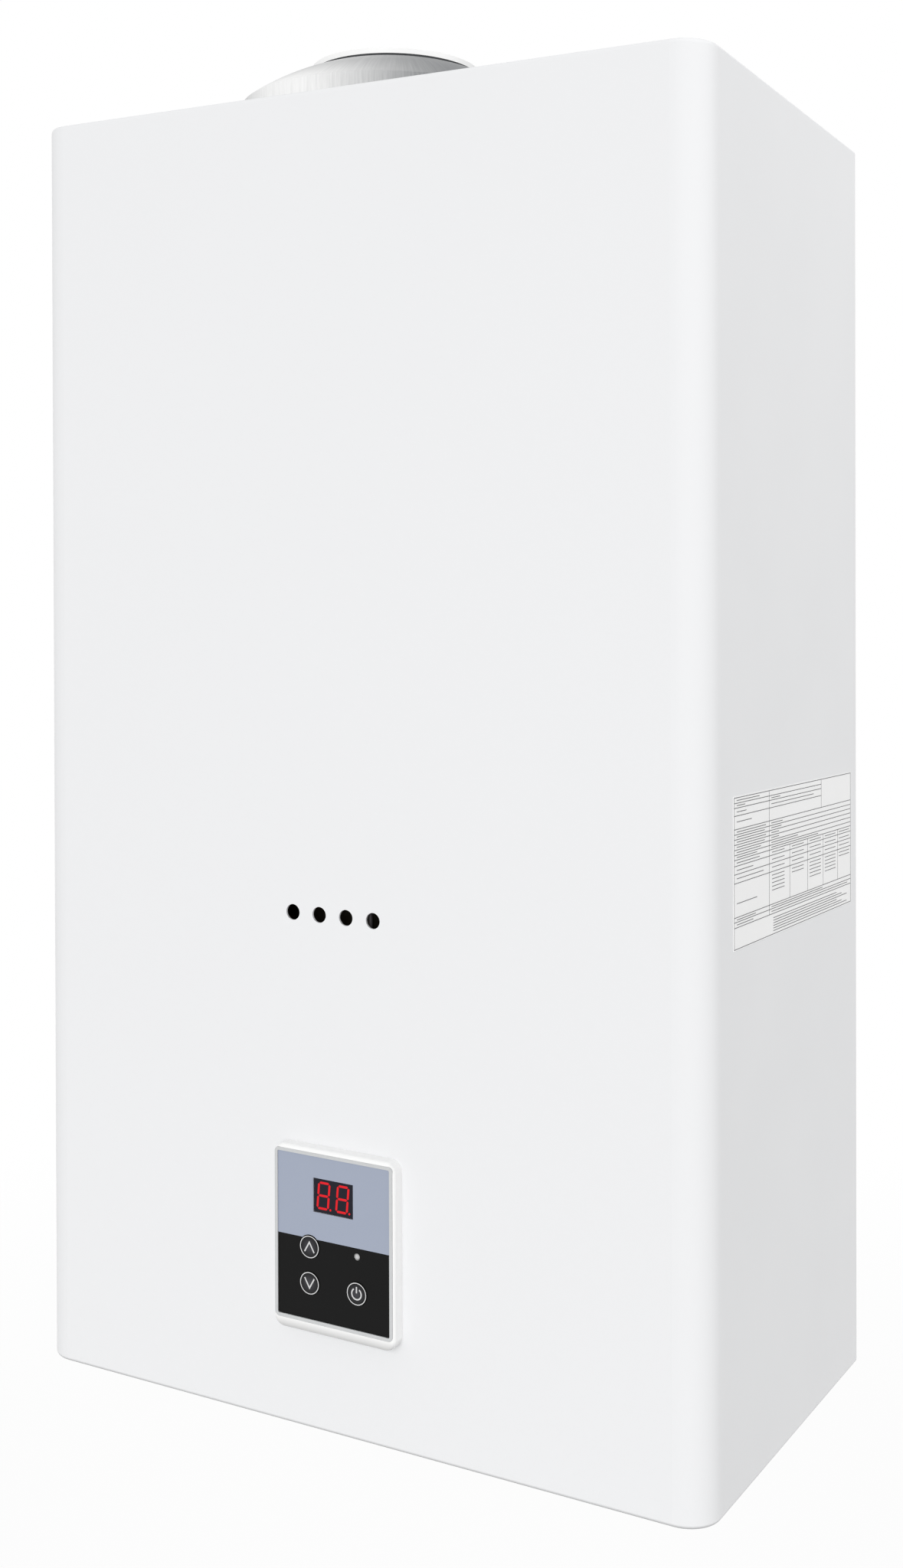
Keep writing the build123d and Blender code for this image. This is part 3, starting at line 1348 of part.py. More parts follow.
def panel_bezel():
    """Gloss bezel: raised rim with a deeper lower lip, recessed face, skirt, hooks and staked bosses."""
    z = panel_level()
    front = FRONT_Y - PANEL_RISE
    outline = RectangleRounded(PANEL_W, PANEL_L + PANEL_LIP, PANEL_CORNER_R)
    bezel = prism_y(outline, 0, z - PANEL_LIP / 2, FRONT_Y, front)
    bezel = fillet(bezel.faces().sort_by(Axis.Y)[0].edges(), PANEL_EDGE_R)
    inset = SKIRT_INSET + SKIRT_GAP
    skirt_w, skirt_l = PANEL_W - 2 * inset, PANEL_L - 2 * inset
    skirt_end = FRONT_Y + SKIRT_DEPTH
    bezel += prism_y(Rectangle(skirt_w, skirt_l), 0, z, skirt_end, FRONT_Y)
    bezel -= prism_y(RectangleRounded(TRIM_W, TRIM_L, TRIM_CORNER_R), 0, z, face_floor(), front)
    cavity = Rectangle(skirt_w - 2 * PANEL_WALL, skirt_l - 2 * PANEL_WALL)
    bezel -= prism_y(cavity, 0, z, skirt_end, face_back())
    for x, bz in boss_places():
        back = board_front() + BOARD_T
        bezel += rod_y(x, face_back(), board_front(), bz, BOSS_D / 2)
        bezel += rod_y(x, board_front(), back, bz, STAKE_D / 2)
        bezel += rod_y(x, back, back + STAKE_HEAD_T, bz, STAKE_HEAD_D / 2)
    catch = FRONT_Y + COVER_T + SLIDE_GAP
    for side in (-1, 1):
        edge = side * skirt_w / 2
        tip = edge + side * HOOK_REACH
        bezel += block(min(edge, tip), max(edge, tip), catch, catch + 2 * HOOK_REACH,
                       z - HOOK_W / 2, z + HOOK_W / 2)
    return bezel - face_cuts(face_back(), face_floor())


def panel_trim():
    """Grey frame around the overlay."""
    z = panel_level()
    outer = RectangleRounded(TRIM_W - 2 * OVERLAY_GAP, TRIM_L - 2 * OVERLAY_GAP, TRIM_CORNER_R - OVERLAY_GAP)
    ring = prism_y(outer, 0, z, face_floor(), face_floor() - TRIM_T)
    inner = RectangleRounded(TRIM_W - 2 * TRIM_BORDER, TRIM_L - 2 * TRIM_BORDER, TRIM_CORNER_R - TRIM_BORDER)
    return ring - prism_y(inner, 0, z, face_floor(), face_floor() - TRIM_T)


def panel_overlay():
    """Printed overlay on the bezel face."""
    inset = TRIM_BORDER + OVERLAY_GAP
    sheet = RectangleRounded(TRIM_W - 2 * inset, TRIM_L - 2 * inset, TRIM_CORNER_R - inset)
    plate = prism_y(sheet, 0, panel_level(), face_floor(), overlay_front())
    return plate - face_cuts(face_floor(), overlay_front())


def display_module():
    """Seven-segment display block behind its window, standing on the board."""
    outline = Rectangle(DISPLAY_W - 2 * DISPLAY_GAP, DISPLAY_L - 2 * DISPLAY_GAP)
    return prism_y(outline, 0, panel_level() + DISPLAY_RISE, board_front(), face_floor())


def button(name):
    """Button cap with a lip behind the face and a stem to its switch."""
    x, z = button_places()[name]
    front = overlay_front() - BUTTON_RISE
    lip = face_back() + SLIDE_GAP
    cap = rod_y(x, front, lip + BUTTON_LIP_T, z, BUTTON_D / 2)
    cap += rod_y(x, lip, lip + BUTTON_LIP_T, z, BUTTON_D / 2 + BUTTON_LIP)
    end = switch_front() - BUTTON_TRAVEL - SLIDE_GAP
    return cap + rod_y(x, lip, end, z, STEM_D / 2)


def up_button():
    return button("up")


def down_button():
    return button("down")


def power_button():
    return button("power")


def switch_front():
    return board_front() - SWITCH_T - SWITCH_STEM_L


def key_switches():
    """Key switches on the board, one behind each button."""
    switches = []
    for name, (x, z) in button_places().items():
        if name != "lamp":
            body = prism_y(Rectangle(SWITCH_W, SWITCH_W), x, z, board_front(), board_front() - SWITCH_T)
            switches.append(body + rod_y(x, switch_front(), board_front() - SWITCH_T, z, STEM_D / 2))
    return group(switches)


def indicator_lamp():
    """Lamp with a domed tip, standing on the board."""
    x, z = button_places()["lamp"]
    radius = LED_D / 2
    tip = overlay_front() - LED_RISE + radius
    return rod_y(x, tip, board_front(), z, radius) + Pos(x, tip, z) * Sphere(radius)


def panel_board():
    """Circuit board staked on the bezel bosses, with the header for the panel plug."""
    inset = SKIRT_INSET + SKIRT_GAP + PANEL_WALL + BOARD_GAP
    z = panel_level()
    back = board_front() + BOARD_T
    board = prism_y(Rectangle(PANEL_W - 2 * inset, PANEL_L - 2 * inset), 0, z, back, board_front())
    for x, bz in boss_places():
        board -= rod_y(x, board_front(), back, bz, STAKE_D / 2 + STAKE_GAP)
    half = HEADER_W / 2
    return board + block(-half, half, back, back + HEADER_T, z - half / 2, z + half / 2)


# Fasteners

def cover_screw_levels():
    """Head face, shank end and direction of the lower and upper cover screws."""
    return [(CASE_BOTTOM, FLOOR_TOP, 1), (CASE_TOP, ROOF_LOW, -1)]


def nut_limits(plate, way):
    near = plate + way * SLIDE_GAP
    return sorted((near, near + way * NUT_T))


def cover_screws():
    """Low-headed screws that clamp the cover's folded edges to the floor and the roof."""
    y = FRONT_Y + SCREW_INSET
    screws = []
    for face, plate, way in cover_screw_levels():
        end = plate + way * (NUT_T + SCREW_HEAD_T)
        for x in (-SCREW_X, SCREW_X):
            head = sorted((face, face - way * SCREW_HEAD_T))
            shank = sorted((face, end))
            screws.append(rod_z(x, y, *head, SCREW_HEAD_R) + rod_z(x, y, *shank, SCREW_R))
    return group(screws)


def cover_nuts():
    """Nuts on the cover screws, inside the chassis plates."""
    y = FRONT_Y + SCREW_INSET
    nuts = []
    for _, plate, way in cover_screw_levels():
        z0, z1 = nut_limits(plate, way)
        for x in (-SCREW_X, SCREW_X):
            nuts.append(hex_z(x, y, z0, z1, NUT_FLATS) - rod_z(x, y, z0, z1, SCREW_R + RUN_GAP))
    return group(nuts)


def manifold_screws():
    """Small screws that hold the manifold's feet to the tray."""
    screws = []
    front = manifold_back() - MANIFOLD_D
    for x in ear_places():
        shank = rod_y(x, front, CORE_FRONT + CORE_T, venturi_level(), PIN_SCREW_R)
        screws.append(shank + rod_y(x, front - PIN_HEAD_T, front, venturi_level(), PIN_HEAD_R))
    return group(screws)


NODES = [
    front_cover, back_plate, bottom_plate, top_plate, support_brackets, rating_label,
    flue_collar, draught_hood, draught_baffle, spill_thermostat,
    exchanger_tubes, exchanger_fins, exchanger_frame, combustion_chamber, sight_window, chamber_coil,
    burner_blades, burner_tray, gas_manifold, injectors, electrode_rods, electrode_insulators,
    gas_valve_body, solenoid_coil, solenoid_plunger, plunger_spring, modulator_motor, modulator_spindle,
    gas_elbow, gas_inlet_fitting, hot_outlet_fitting, cold_inlet_fitting, drain_knob, lock_nuts,
    flow_housing, flow_axle, flow_rotor, cold_pipe, hot_pipe, overheat_thermostat,
    battery_box, battery_door, batteries, battery_contacts, controller_case, controller_lid,
    wiring_leads, panel_bezel, panel_trim, panel_overlay, display_module,
    up_button, down_button, power_button, key_switches, indicator_lamp, panel_board,
    cover_screws, cover_nuts, manifold_screws,
]


def main():
    os.makedirs("parts", exist_ok=True)
    for make in NODES:
        export_step(make(), f"parts/{make.__name__}.step")


main()
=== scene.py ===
"""Looks of a tankless gas water heater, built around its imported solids."""

import math

import bmesh
import bpy
from bpy.props import FloatProperty, FloatVectorProperty, PointerProperty
from mathutils import Matrix, Vector


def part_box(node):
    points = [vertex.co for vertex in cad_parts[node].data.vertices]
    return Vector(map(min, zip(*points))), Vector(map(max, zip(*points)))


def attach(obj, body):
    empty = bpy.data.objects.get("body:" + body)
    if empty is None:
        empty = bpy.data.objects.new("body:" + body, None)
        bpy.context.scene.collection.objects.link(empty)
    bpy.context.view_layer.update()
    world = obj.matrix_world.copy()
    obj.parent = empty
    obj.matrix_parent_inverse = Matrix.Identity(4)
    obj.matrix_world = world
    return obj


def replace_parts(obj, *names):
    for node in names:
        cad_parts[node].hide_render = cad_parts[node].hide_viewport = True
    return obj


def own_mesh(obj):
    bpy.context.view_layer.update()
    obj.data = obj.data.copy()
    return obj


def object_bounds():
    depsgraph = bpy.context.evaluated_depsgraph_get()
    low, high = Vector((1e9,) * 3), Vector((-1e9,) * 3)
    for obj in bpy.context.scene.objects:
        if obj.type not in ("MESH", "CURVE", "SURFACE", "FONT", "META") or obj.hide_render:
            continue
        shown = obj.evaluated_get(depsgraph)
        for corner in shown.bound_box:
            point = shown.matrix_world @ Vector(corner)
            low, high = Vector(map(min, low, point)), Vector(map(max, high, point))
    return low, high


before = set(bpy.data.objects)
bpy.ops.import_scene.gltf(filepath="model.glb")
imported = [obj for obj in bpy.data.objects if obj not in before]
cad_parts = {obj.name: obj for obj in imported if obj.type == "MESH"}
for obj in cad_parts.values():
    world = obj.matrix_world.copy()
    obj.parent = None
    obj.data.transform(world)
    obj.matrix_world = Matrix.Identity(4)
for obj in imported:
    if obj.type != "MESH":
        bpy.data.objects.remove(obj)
CAD_BOX = [list(corner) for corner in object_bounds()]

bl_info = {
    "name": "Tankless Water Heater",
    "version": (1, 0, 0),
    "blender": (4, 5, 0),
    "location": "View3D > Sidebar > Heater",
    "description": "Finishes and fine pieces of a tankless gas water heater",
    "category": "Object",
}

MM = 0.001
QUARTER_TURN = math.radians(90)
MID_LEVEL = (CAD_BOX[0][2] + CAD_BOX[1][2]) / 2


# Properties

def colour(name, description, default):
    return FloatVectorProperty(
        name=name, description=description, default=(*default, 1.0), size=4, subtype="COLOR",
        min=0.0, max=1.0,
    )


def length(name, description, millimetres):
    return FloatProperty(
        name=name, description=description, default=millimetres * MM, unit="LENGTH", subtype="DISTANCE",
        precision=5,
    )


def number(name, description, default):
    return FloatProperty(name=name, description=description, default=default, min=0.0)


def wattage(name, description, watts):
    return FloatProperty(name=name, description=description, default=watts, min=0.0, unit="POWER")


class HeaterColours(bpy.types.PropertyGroup):
    """Colours of the finishes."""

    enamel: colour("Enamel", "White stove enamel of the cover", (0.86, 0.865, 0.875))
    gloss: colour("Gloss white", "White moulding of the panel bezel", (0.975, 0.975, 0.97))
    trim: colour("Trim", "Light-grey frame round the overlay", (0.56, 0.57, 0.575))
    overlay_high: colour("Overlay top", "Blue-grey upper half of the overlay", (0.376, 0.417, 0.514))
    overlay_low: colour("Overlay bottom", "Black lower half of the overlay", (0.005, 0.005, 0.005))
    # Painted glint on the middle of each button.
    key_painted_glint: colour("Button middle", "Paler middle of a button", (0.055, 0.055, 0.062))
    display: colour("Display", "Dark face behind the figures", (0.006, 0.006, 0.012))
    figure: colour("Figures", "Lit segments of the display", (0.86, 0.012, 0.02))
    figure_base: colour("Figure film", "Film over the lit segments", (0.1, 0.008, 0.01))
    mark: colour("Marks", "Rings and signs on the buttons", (0.62, 0.62, 0.62))
    lamp: colour("Lamp", "Diffusing indicator lamp", (0.54, 0.54, 0.54))
    paper: colour("Label", "Blank label sheet", (0.97, 0.97, 0.965))
    ink: colour("Rules", "Ruled lines and bars of the label", (0.15, 0.15, 0.155))
    zinc: colour("Zinc", "Galvanised sheet", (0.56, 0.58, 0.59))
    # Painted reflection: the collar's bright and shaded sector colours stand in for light on its sheet.
    spun: colour("Spun zinc", "Bright zinc of the flue collar", (0.94, 0.94, 0.935))
    spun_painted_shade: colour("Dull zinc", "Shaded side of the flue collar's sheet", (0.16, 0.167, 0.175))
    # Painted shadow: dark line in the crease where the collar's lip meets its dome.
    spun_crease_shadow: colour("Collar joint", "Dark line below the collar's lip", (0.05, 0.052, 0.055))
    copper: colour("Copper", "Copper tube and sheet", (0.72, 0.36, 0.22))
    copper_aged: colour("Aged copper", "Tarnish on the copper", (0.34, 0.16, 0.11))
    brass: colour("Brass", "Turned brass", (0.74, 0.55, 0.24))
    brass_aged: colour("Aged brass", "Tarnish on the brass", (0.46, 0.32, 0.13))
    casting: colour("Casting", "Die-cast aluminium", (0.58, 0.59, 0.60))
    steel: colour("Steel", "Stainless steel", (0.60, 0.595, 0.58))
    black: colour("Black plastic", "Moulded black plastic", (0.018, 0.018, 0.02))
    grey: colour("Grey plastic", "Moulded grey plastic", (0.42, 0.43, 0.45))
    board: colour("Board", "Circuit board mask", (0.02, 0.11, 0.045))
    mica: colour("Mica", "Smoked mica pane", (0.035, 0.027, 0.018))
    mica_cloud: colour("Mica clouds", "Paler clouds in the mica pane", (0.07, 0.058, 0.042))
    ceramic: colour("Ceramic", "Electrode sleeves", (0.84, 0.82, 0.77))
    lead: colour("Leads", "Sleeves of the lower leads", (0.03, 0.03, 0.033))
    lead_high: colour("Upper leads", "Sleeves of the upper leads", (0.045, 0.04, 0.042))
    sleeve: colour("Cell sleeve", "Plain sleeve of the dry cells", (0.05, 0.09, 0.16))
    band: colour("Cell band", "Pale band round the dry cells", (0.6, 0.6, 0.6))


class HeaterSizes(bpy.types.PropertyGroup):
    """Sizes of the fine pieces."""

    figure_height: length("Figure height", "Height of a display figure", 12.2)
    figure_width: length("Figure width", "Width of a display figure", 6.4)
    figure_stroke: length("Figure stroke", "Width of a lit segment", 0.98)
    ring_radius: length("Ring radius", "Outer radius of the ring on a button", 4.85)
    ring_width: length("Ring width", "Width of the ring on a button", 0.38)
    sign_stroke: length("Sign stroke", "Stroke of the sign on a button", 0.62)
    print_rise: length("Print rise", "How far print stands off its face", 0.04)
    rule_width: length("Rule width", "Width of a ruled line on the label", 0.3)
    bar_width: length("Bar width", "Width of a plain bar on the label", 0.31)
    label_margin: length("Label margin", "Blank border of the label", 0.6)
    dome_radius: length("Dome radius", "Radius of the collar's domed shoulder", 128.4)
    foot_radius: length("Foot radius", "Radius of the collar's upright foot", 75.0)
    socket_radius: length("Socket radius", "Radius of the collar's socket for the flue pipe", 40.2)
    socket_length: length("Socket length", "Depth of the collar's socket", 24.0)
    lip_rise: length("Lip rise", "Height of the collar's lip above its dome", 3.6)
    seat_hole: length("Seat hole", "Radius of the hole in the collar's seat", 63.9)
    collar_wall: length("Collar wall", "Thickness of the collar's sheet", 1.0)
    stub_length: length("Stub length", "Threaded length of a pipe connection", 22.0)
    stub_radius: length("Stub radius", "Outside radius of the half-inch thread", 10.48)
    stub_bore: length("Stub bore", "Radius of a pipe connection's bore", 7.5)
    plunger_draw: length("Plunger draw", "Travel of the gas valve's plunger", 3.0)
    thread_pitch: length("Thread pitch", "Pitch of the half-inch pipe thread", 1.814)
    thread_depth: length("Thread depth", "Depth of the half-inch pipe thread", 1.1)
    nut_flats: length("Nut flats", "Width of a lock nut across its flats", 30.0)
    nut_bore: length("Nut bore", "Radius of a lock nut's bore", 11.6)


class HeaterStage(bpy.types.PropertyGroup):
    """Floor, light and camera."""

    floor_drop: length("Floor drop", "Floor below the lowest point of the heater", 300.0)
    floor_radius: length("Floor radius", "Reach of the floor", 2400.0)
    ambient: number("Ambient", "Even light from all round", 0.555)
    key: wattage("Key light", "Soft light on the front", 496.0)
    side: wattage("Side light", "Soft light on the right", 4.1)
    floor_glow: number("Floor white", "Share of plain white in the floor", 0.94)
    lens: number("Lens", "Focal length in millimetres", 42.05)


# Shader nodes

def add_node(tree, kind, **inputs):
    """Add a shader node and set its inputs by name."""
    made = tree.nodes.new("ShaderNode" + kind)
    for name, value in inputs.items():
        made.inputs[name.replace("_", " ")].default_value = value
    return made


def join(tree, source, target):
    tree.links.new(source, target)


def feed(tree, target, value):
    """Link a socket, or set a number on it."""
    if isinstance(value, bpy.types.NodeSocket):
        tree.links.new(value, target)
    else:
        target.default_value = value


def calc(tree, operation, first, second=0.0, third=0.0):
    """Math node."""
    made = add_node(tree, "Math")
    made.operation = operation
    for socket, value in zip(made.inputs, (first, second, third)):
        feed(tree, socket, value)
    return made.outputs[0]


def vector_calc(tree, operation, *values):
    """Vector Math node."""
    made = add_node(tree, "VectorMath")
    made.operation = operation
    for socket, value in zip(made.inputs, values):
        feed(tree, socket, value)
    return made.outputs


def mixed(tree, factor, first, second, blend="MIX"):
    """Mix two colours."""
    made = add_node(tree, "Mix")
    made.data_type = "RGBA"
    made.blend_type = blend
    feed(tree, made.inputs[0], factor)
    feed(tree, made.inputs[6], first)
    feed(tree, made.inputs[7], second)
    return made.outputs[2]


def ranged(tree, value, low, high, to_low, to_high):
    """Map a value from one range to another."""
    made = add_node(tree, "MapRange", From_Min=low, From_Max=high)
    feed(tree, made.inputs["Value"], value)
    feed(tree, made.inputs["To Min"], to_low)
    feed(tree, made.inputs["To Max"], to_high)
    return made.outputs[0]


def tinted(base, share):
    """Colour times a share."""
    return (*(min(1.0, c * share) for c in base[:3]), 1.0)


def object_place(tree):
    return add_node(tree, "TexCoord").outputs["Object"]


def object_axes(tree):
    """X, Y and Z of a place on the object."""
    axes = add_node(tree, "SeparateXYZ")
    join(tree, object_place(tree), axes.inputs[0])
    return axes.outputs


def noise(tree, place, scale, detail=3.0):
    made = add_node(tree, "TexNoise", Detail=detail)
    join(tree, place, made.inputs["Vector"])
    feed(tree, made.inputs["Scale"], scale)
    return made.outputs["Fac"]


def seen_directly(tree):
    """One for what the camera, a mirror or a pane shows, none for light that falls on a surface."""
    ray = add_node(tree, "LightPath").outputs
    seen = calc(tree, "MAXIMUM", ray["Is Camera Ray"], ray["Is Glossy Ray"])
    return calc(tree, "MAXIMUM", seen, ray["Is Transmission Ray"])


def new_group(name, inputs, outputs):
    """Shader node group with named sockets."""
    tree = bpy.data.node_groups.new(name, "ShaderNodeTree")
    for label, kind, default in inputs:
        socket = tree.interface.new_socket(name=label, in_out="INPUT", socket_type=kind)
        socket.default_value = default
    for label, kind in outputs:
        tree.interface.new_socket(name=label, in_out="OUTPUT", socket_type=kind)
    return tree, tree.nodes.new("NodeGroupInput").outputs, tree.nodes.new("NodeGroupOutput").inputs


FLOAT, COLOUR = "NodeSocketFloat", "NodeSocketColor"
MID_GREY = (0.5, 0.5, 0.5, 1.0)


def grain_group():
    """Fine surface grain: a height for bump and a roughness that wanders."""
    inputs = [("Scale", FLOAT, 400.0), ("Low", FLOAT, 0.3), ("High", FLOAT, 0.45)]
    tree, given, out = new_group("Fine Grain", inputs, [("Height", FLOAT), ("Roughness", FLOAT)])
    place = object_place(tree)
    join(tree, noise(tree, place, given["Scale"]), out["Height"])
    broad = noise(tree, place, calc(tree, "MULTIPLY", given["Scale"], 0.04))
    join(tree, ranged(tree, broad, 0.35, 0.65, given["Low"], given["High"]), out["Roughness"])
    return tree


def spangle_group():
    """Zinc crystals: patches of slightly different grey."""
    inputs = [("Colour", COLOUR, MID_GREY), ("Scale", FLOAT, 120.0), ("Depth", FLOAT, 0.2)]
    outputs = [("Colour", COLOUR), ("Roughness", FLOAT), ("Height", FLOAT)]
    tree, given, out = new_group("Zinc Spangle", inputs, outputs)
    place = object_place(tree)
    warp = add_node(tree, "TexNoise", Scale=55.0)
    join(tree, place, warp.inputs["Vector"])
    sway = (6.0 * MM, 6.0 * MM, 6.0 * MM)
    moved = vector_calc(tree, "MULTIPLY_ADD", warp.outputs["Color"], sway, place)[0]
    cells = add_node(tree, "TexVoronoi")
    join(tree, moved, cells.inputs["Vector"])
    join(tree, given["Scale"], cells.inputs["Scale"])
    split = add_node(tree, "SeparateColor")
    join(tree, cells.outputs["Color"], split.inputs[0])
    shade = ranged(tree, split.outputs[0], 0.0, 1.0, calc(tree, "SUBTRACT", 1.0, given["Depth"]), 1.0)
    grey = add_node(tree, "CombineColor")
    for socket in grey.inputs[:3]:
        join(tree, shade, socket)
    join(tree, mixed(tree, 1.0, given["Colour"], grey.outputs[0], "MULTIPLY"), out["Colour"])
    join(tree, ranged(tree, split.outputs[1], 0.0, 1.0, 0.3, 0.48), out["Roughness"])
    join(tree, split.outputs[2], out["Height"])
    return tree


def tarnish_group():
    """Uneven tarnish: the clean colour darkens in soft patches."""
    inputs = [
        ("Clean", COLOUR, MID_GREY), ("Aged", COLOUR, MID_GREY), ("Scale", FLOAT, 30.0),
        ("Amount", FLOAT, 0.5),
    ]
    outputs = [("Colour", COLOUR), ("Roughness", FLOAT), ("Height", FLOAT)]
    tree, given, out = new_group("Tarnish", inputs, outputs)
    place = object_place(tree)
    patch = noise(tree, place, given["Scale"], 6.0)
    mask = calc(tree, "MULTIPLY", ranged(tree, patch, 0.35, 0.72, 0.0, 1.0), given["Amount"])
    join(tree, mixed(tree, mask, given["Clean"], given["Aged"]), out["Colour"])
    join(tree, ranged(tree, mask, 0.0, 1.0, 0.24, 0.52), out["Roughness"])
    join(tree, noise(tree, place, 900.0, 2.0), out["Height"])
    return tree


def brushed_group():
    """Drawn or brushed lines along one axis."""
    inputs = [("Low", FLOAT, 0.25), ("High", FLOAT, 0.45)]
    tree, given, out = new_group("Brushed Lines", inputs, [("Roughness", FLOAT), ("Height", FLOAT)])
    stretch = add_node(tree, "Mapping", Scale=(60.0, 900.0, 900.0))
    join(tree, object_place(tree), stretch.inputs["Vector"])
    lines = noise(tree, stretch.outputs[0], 1.0)
    join(tree, lines, out["Height"])
    join(tree, ranged(tree, lines, 0.3, 0.7, given["Low"], given["High"]), out["Roughness"])
    return tree


SHARED = {"grain": grain_group, "spangle": spangle_group, "tarnish": tarnish_group, "brushed": brushed_group}
GROUPS = {}


def use_group(tree, key, **inputs):
    """Place a shared effect in a material with its own values."""
    if key not in GROUPS:
        GROUPS[key] = SHARED[key]()
    made = add_node(tree, "Group")
    made.node_tree = GROUPS[key]
    for name, value in inputs.items():
        made.inputs[name].default_value = value
    return made.outputs


def new_finish(name, **sockets):
    """Material with a Principled shader and plain values on its own sockets."""
    material = bpy.data.materials.new(name)
    material.use_nodes = True
    tree = material.node_tree
    shader = tree.nodes["Principled BSDF"]
    for label, value in sockets.items():
        shader.inputs[label.replace("_", " ")].default_value = value
    return material, tree, shader


def lay(tree, shader, base, roughness, height=None, strength=0.05, depth=0.2 * MM):
    """Feed a finish's colour, its roughness and, where there is a height, its bump."""
    join(tree, base, shader.inputs["Base Color"])
    join(tree, roughness, shader.inputs["Roughness"])
    if height is not None:
        bump = add_node(tree, "Bump", Strength=strength, Distance=depth)
        join(tree, height, bump.inputs["Height"])
        join(tree, bump.outputs["Normal"], shader.inputs["Normal"])


# Finishes

FOLD_SHADE_HEIGHT = 1.9 * MM
LIP_SHADE_HEIGHT = 5.0 * MM
PAINTED_GLEAM_TURN = math.radians(-104)
PAINTED_GLEAM_SHARPNESS = 1.6
PAINTED_GLEAM_FADE = (1.0 * MM, 10.0 * MM)
STREAKS = (70.0, 60.0)
STREAK_DEPTH = 0.16
CREASE_SHADOW_LEVEL, CREASE_SHADOW_HALF = 0.2 * MM, 0.7 * MM
OVERLAY_SPLIT = 0.4938
PAINTED_GLINT_RADIUS = 4.6 * MM
HIGH_LEADS = -450.0 * MM
CELL_BAND = (0.7, 0.05)
CELL_ENDS = (0.49, 0.46)
TRACKS = {"Scale": 1.0, "Mortar_Size": 0.35 * MM, "Brick_Width": 9.0 * MM, "Row_Height": 2.6 * MM}


def enamel_finish(colours):
    """Stove enamel: satin white with a faint orange peel, and painted shade along the lower fold."""
    material, tree, shader = new_finish("white_enamel_finish", Specular_IOR_Level=0.35)
    grain = use_group(tree, "grain", Scale=520.0, Low=0.36, High=0.44)
    broad = noise(tree, object_place(tree), 4.0, 2.0)
    white = mixed(tree, broad, colours.enamel, tinted(colours.enamel, 0.985))
    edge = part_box("front_cover")[0].z
    # Painted shade: the enamel turns grey along its lower fold, which faces down, away from the light.
    fold_shade = ranged(tree, object_axes(tree)["Z"], edge, edge + FOLD_SHADE_HEIGHT, 1.0, 0.0)
    base = mixed(tree, fold_shade, white, tinted(colours.enamel, 0.3))
    lay(tree, shader, base, grain["Roughness"], grain["Height"], 0.05, 0.3 * MM)
    return material


def zinc_finish(colours):
    """Galvanised sheet with spangle."""
    material, tree, shader = new_finish("galvanised_finish", Metallic=0.92)
    spangle = use_group(tree, "spangle", Colour=colours.zinc, Scale=150.0, Depth=0.15)
    lay(tree, shader, spangle["Colour"], spangle["Roughness"], spangle["Height"], 0.04)
    return material


def spun_finish(colours):
    """Spun zinc: painted reflection in two bright and two shaded sectors, fine streaks, a painted shadow
    line where the lip meets the dome and a painted highlight on the lip.
    """
    material, tree, shader = new_finish("spun_zinc_finish", Metallic=0.3, Specular_IOR_Level=0.3)
    middle, top = middle_of("flue_collar"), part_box("flue_collar")[1].z
    shoulder = top - bpy.context.scene.heater_sizes.lip_rise
    axes = object_axes(tree)
    across = calc(tree, "SUBTRACT", axes["X"], middle.x)
    along = calc(tree, "SUBTRACT", axes["Y"], middle.y)
    turn = calc(tree, "ARCTAN2", along, across)
    unrolled = add_node(tree, "CombineXYZ")
    join(tree, calc(tree, "MULTIPLY", turn, STREAKS[0]), unrolled.inputs[0])
    join(tree, calc(tree, "MULTIPLY", axes["Z"], STREAKS[1]), unrolled.inputs[1])
    streak = noise(tree, unrolled.outputs[0], 1.0, 5.0)
    # Painted reflection: the colour swings round the collar between bright and shaded sectors, brightest low
    # down, varied by the streaks.
    swing = calc(tree, "MULTIPLY", calc(tree, "SUBTRACT", turn, PAINTED_GLEAM_TURN), 2.0)
    bright = ranged(tree, calc(tree, "COSINE", swing), -1.0, 1.0, 0.0, 1.0)
    fade = ranged(tree, axes["Z"], *PAINTED_GLEAM_FADE, 1.0, 0.55)
    painted_gleam = calc(tree, "MULTIPLY", calc(tree, "POWER", bright, PAINTED_GLEAM_SHARPNESS), fade)
    uneven = ranged(tree, streak, 0.3, 0.7, -0.5, 0.5)
    painted_gleam = calc(tree, "MULTIPLY_ADD", uneven, STREAK_DEPTH, painted_gleam)
    # Painted shadow line in the crease where the lip meets the dome.
    joint = calc(tree, "COMPARE", axes["Z"], shoulder + CREASE_SHADOW_LEVEL, CREASE_SHADOW_HALF)
    # Painted highlight: the lip above takes the bezel's near-white, standing in for its brightly lit rim.
    lip = calc(tree, "GREATER_THAN", axes["Z"], shoulder + CREASE_SHADOW_LEVEL + CREASE_SHADOW_HALF)
    base = mixed(tree, painted_gleam, colours.spun_painted_shade, colours.spun)
    base = mixed(tree, joint, mixed(tree, lip, base, colours.gloss), colours.spun_crease_shadow)
    lay(tree, shader, base, ranged(tree, streak, 0.3, 0.7, 0.36, 0.5), streak)
    return material


def tarnish_finish(name, clean, aged, scale, amount):
    """Bare copper or brass with soft tarnish."""
    material, tree, shader = new_finish(name, Metallic=1.0)
    tarnish = use_group(tree, "tarnish", Clean=clean, Aged=aged, Scale=scale, Amount=amount)
    lay(tree, shader, tarnish["Colour"], tarnish["Roughness"], tarnish["Height"])
    return material


def copper_finish(colours):
    return tarnish_finish("copper_finish", colours.copper, colours.copper_aged, 26.0, 0.65)


def brass_finish(colours):
    return tarnish_finish("brass_finish", colours.brass, colours.brass_aged, 60.0, 0.5)


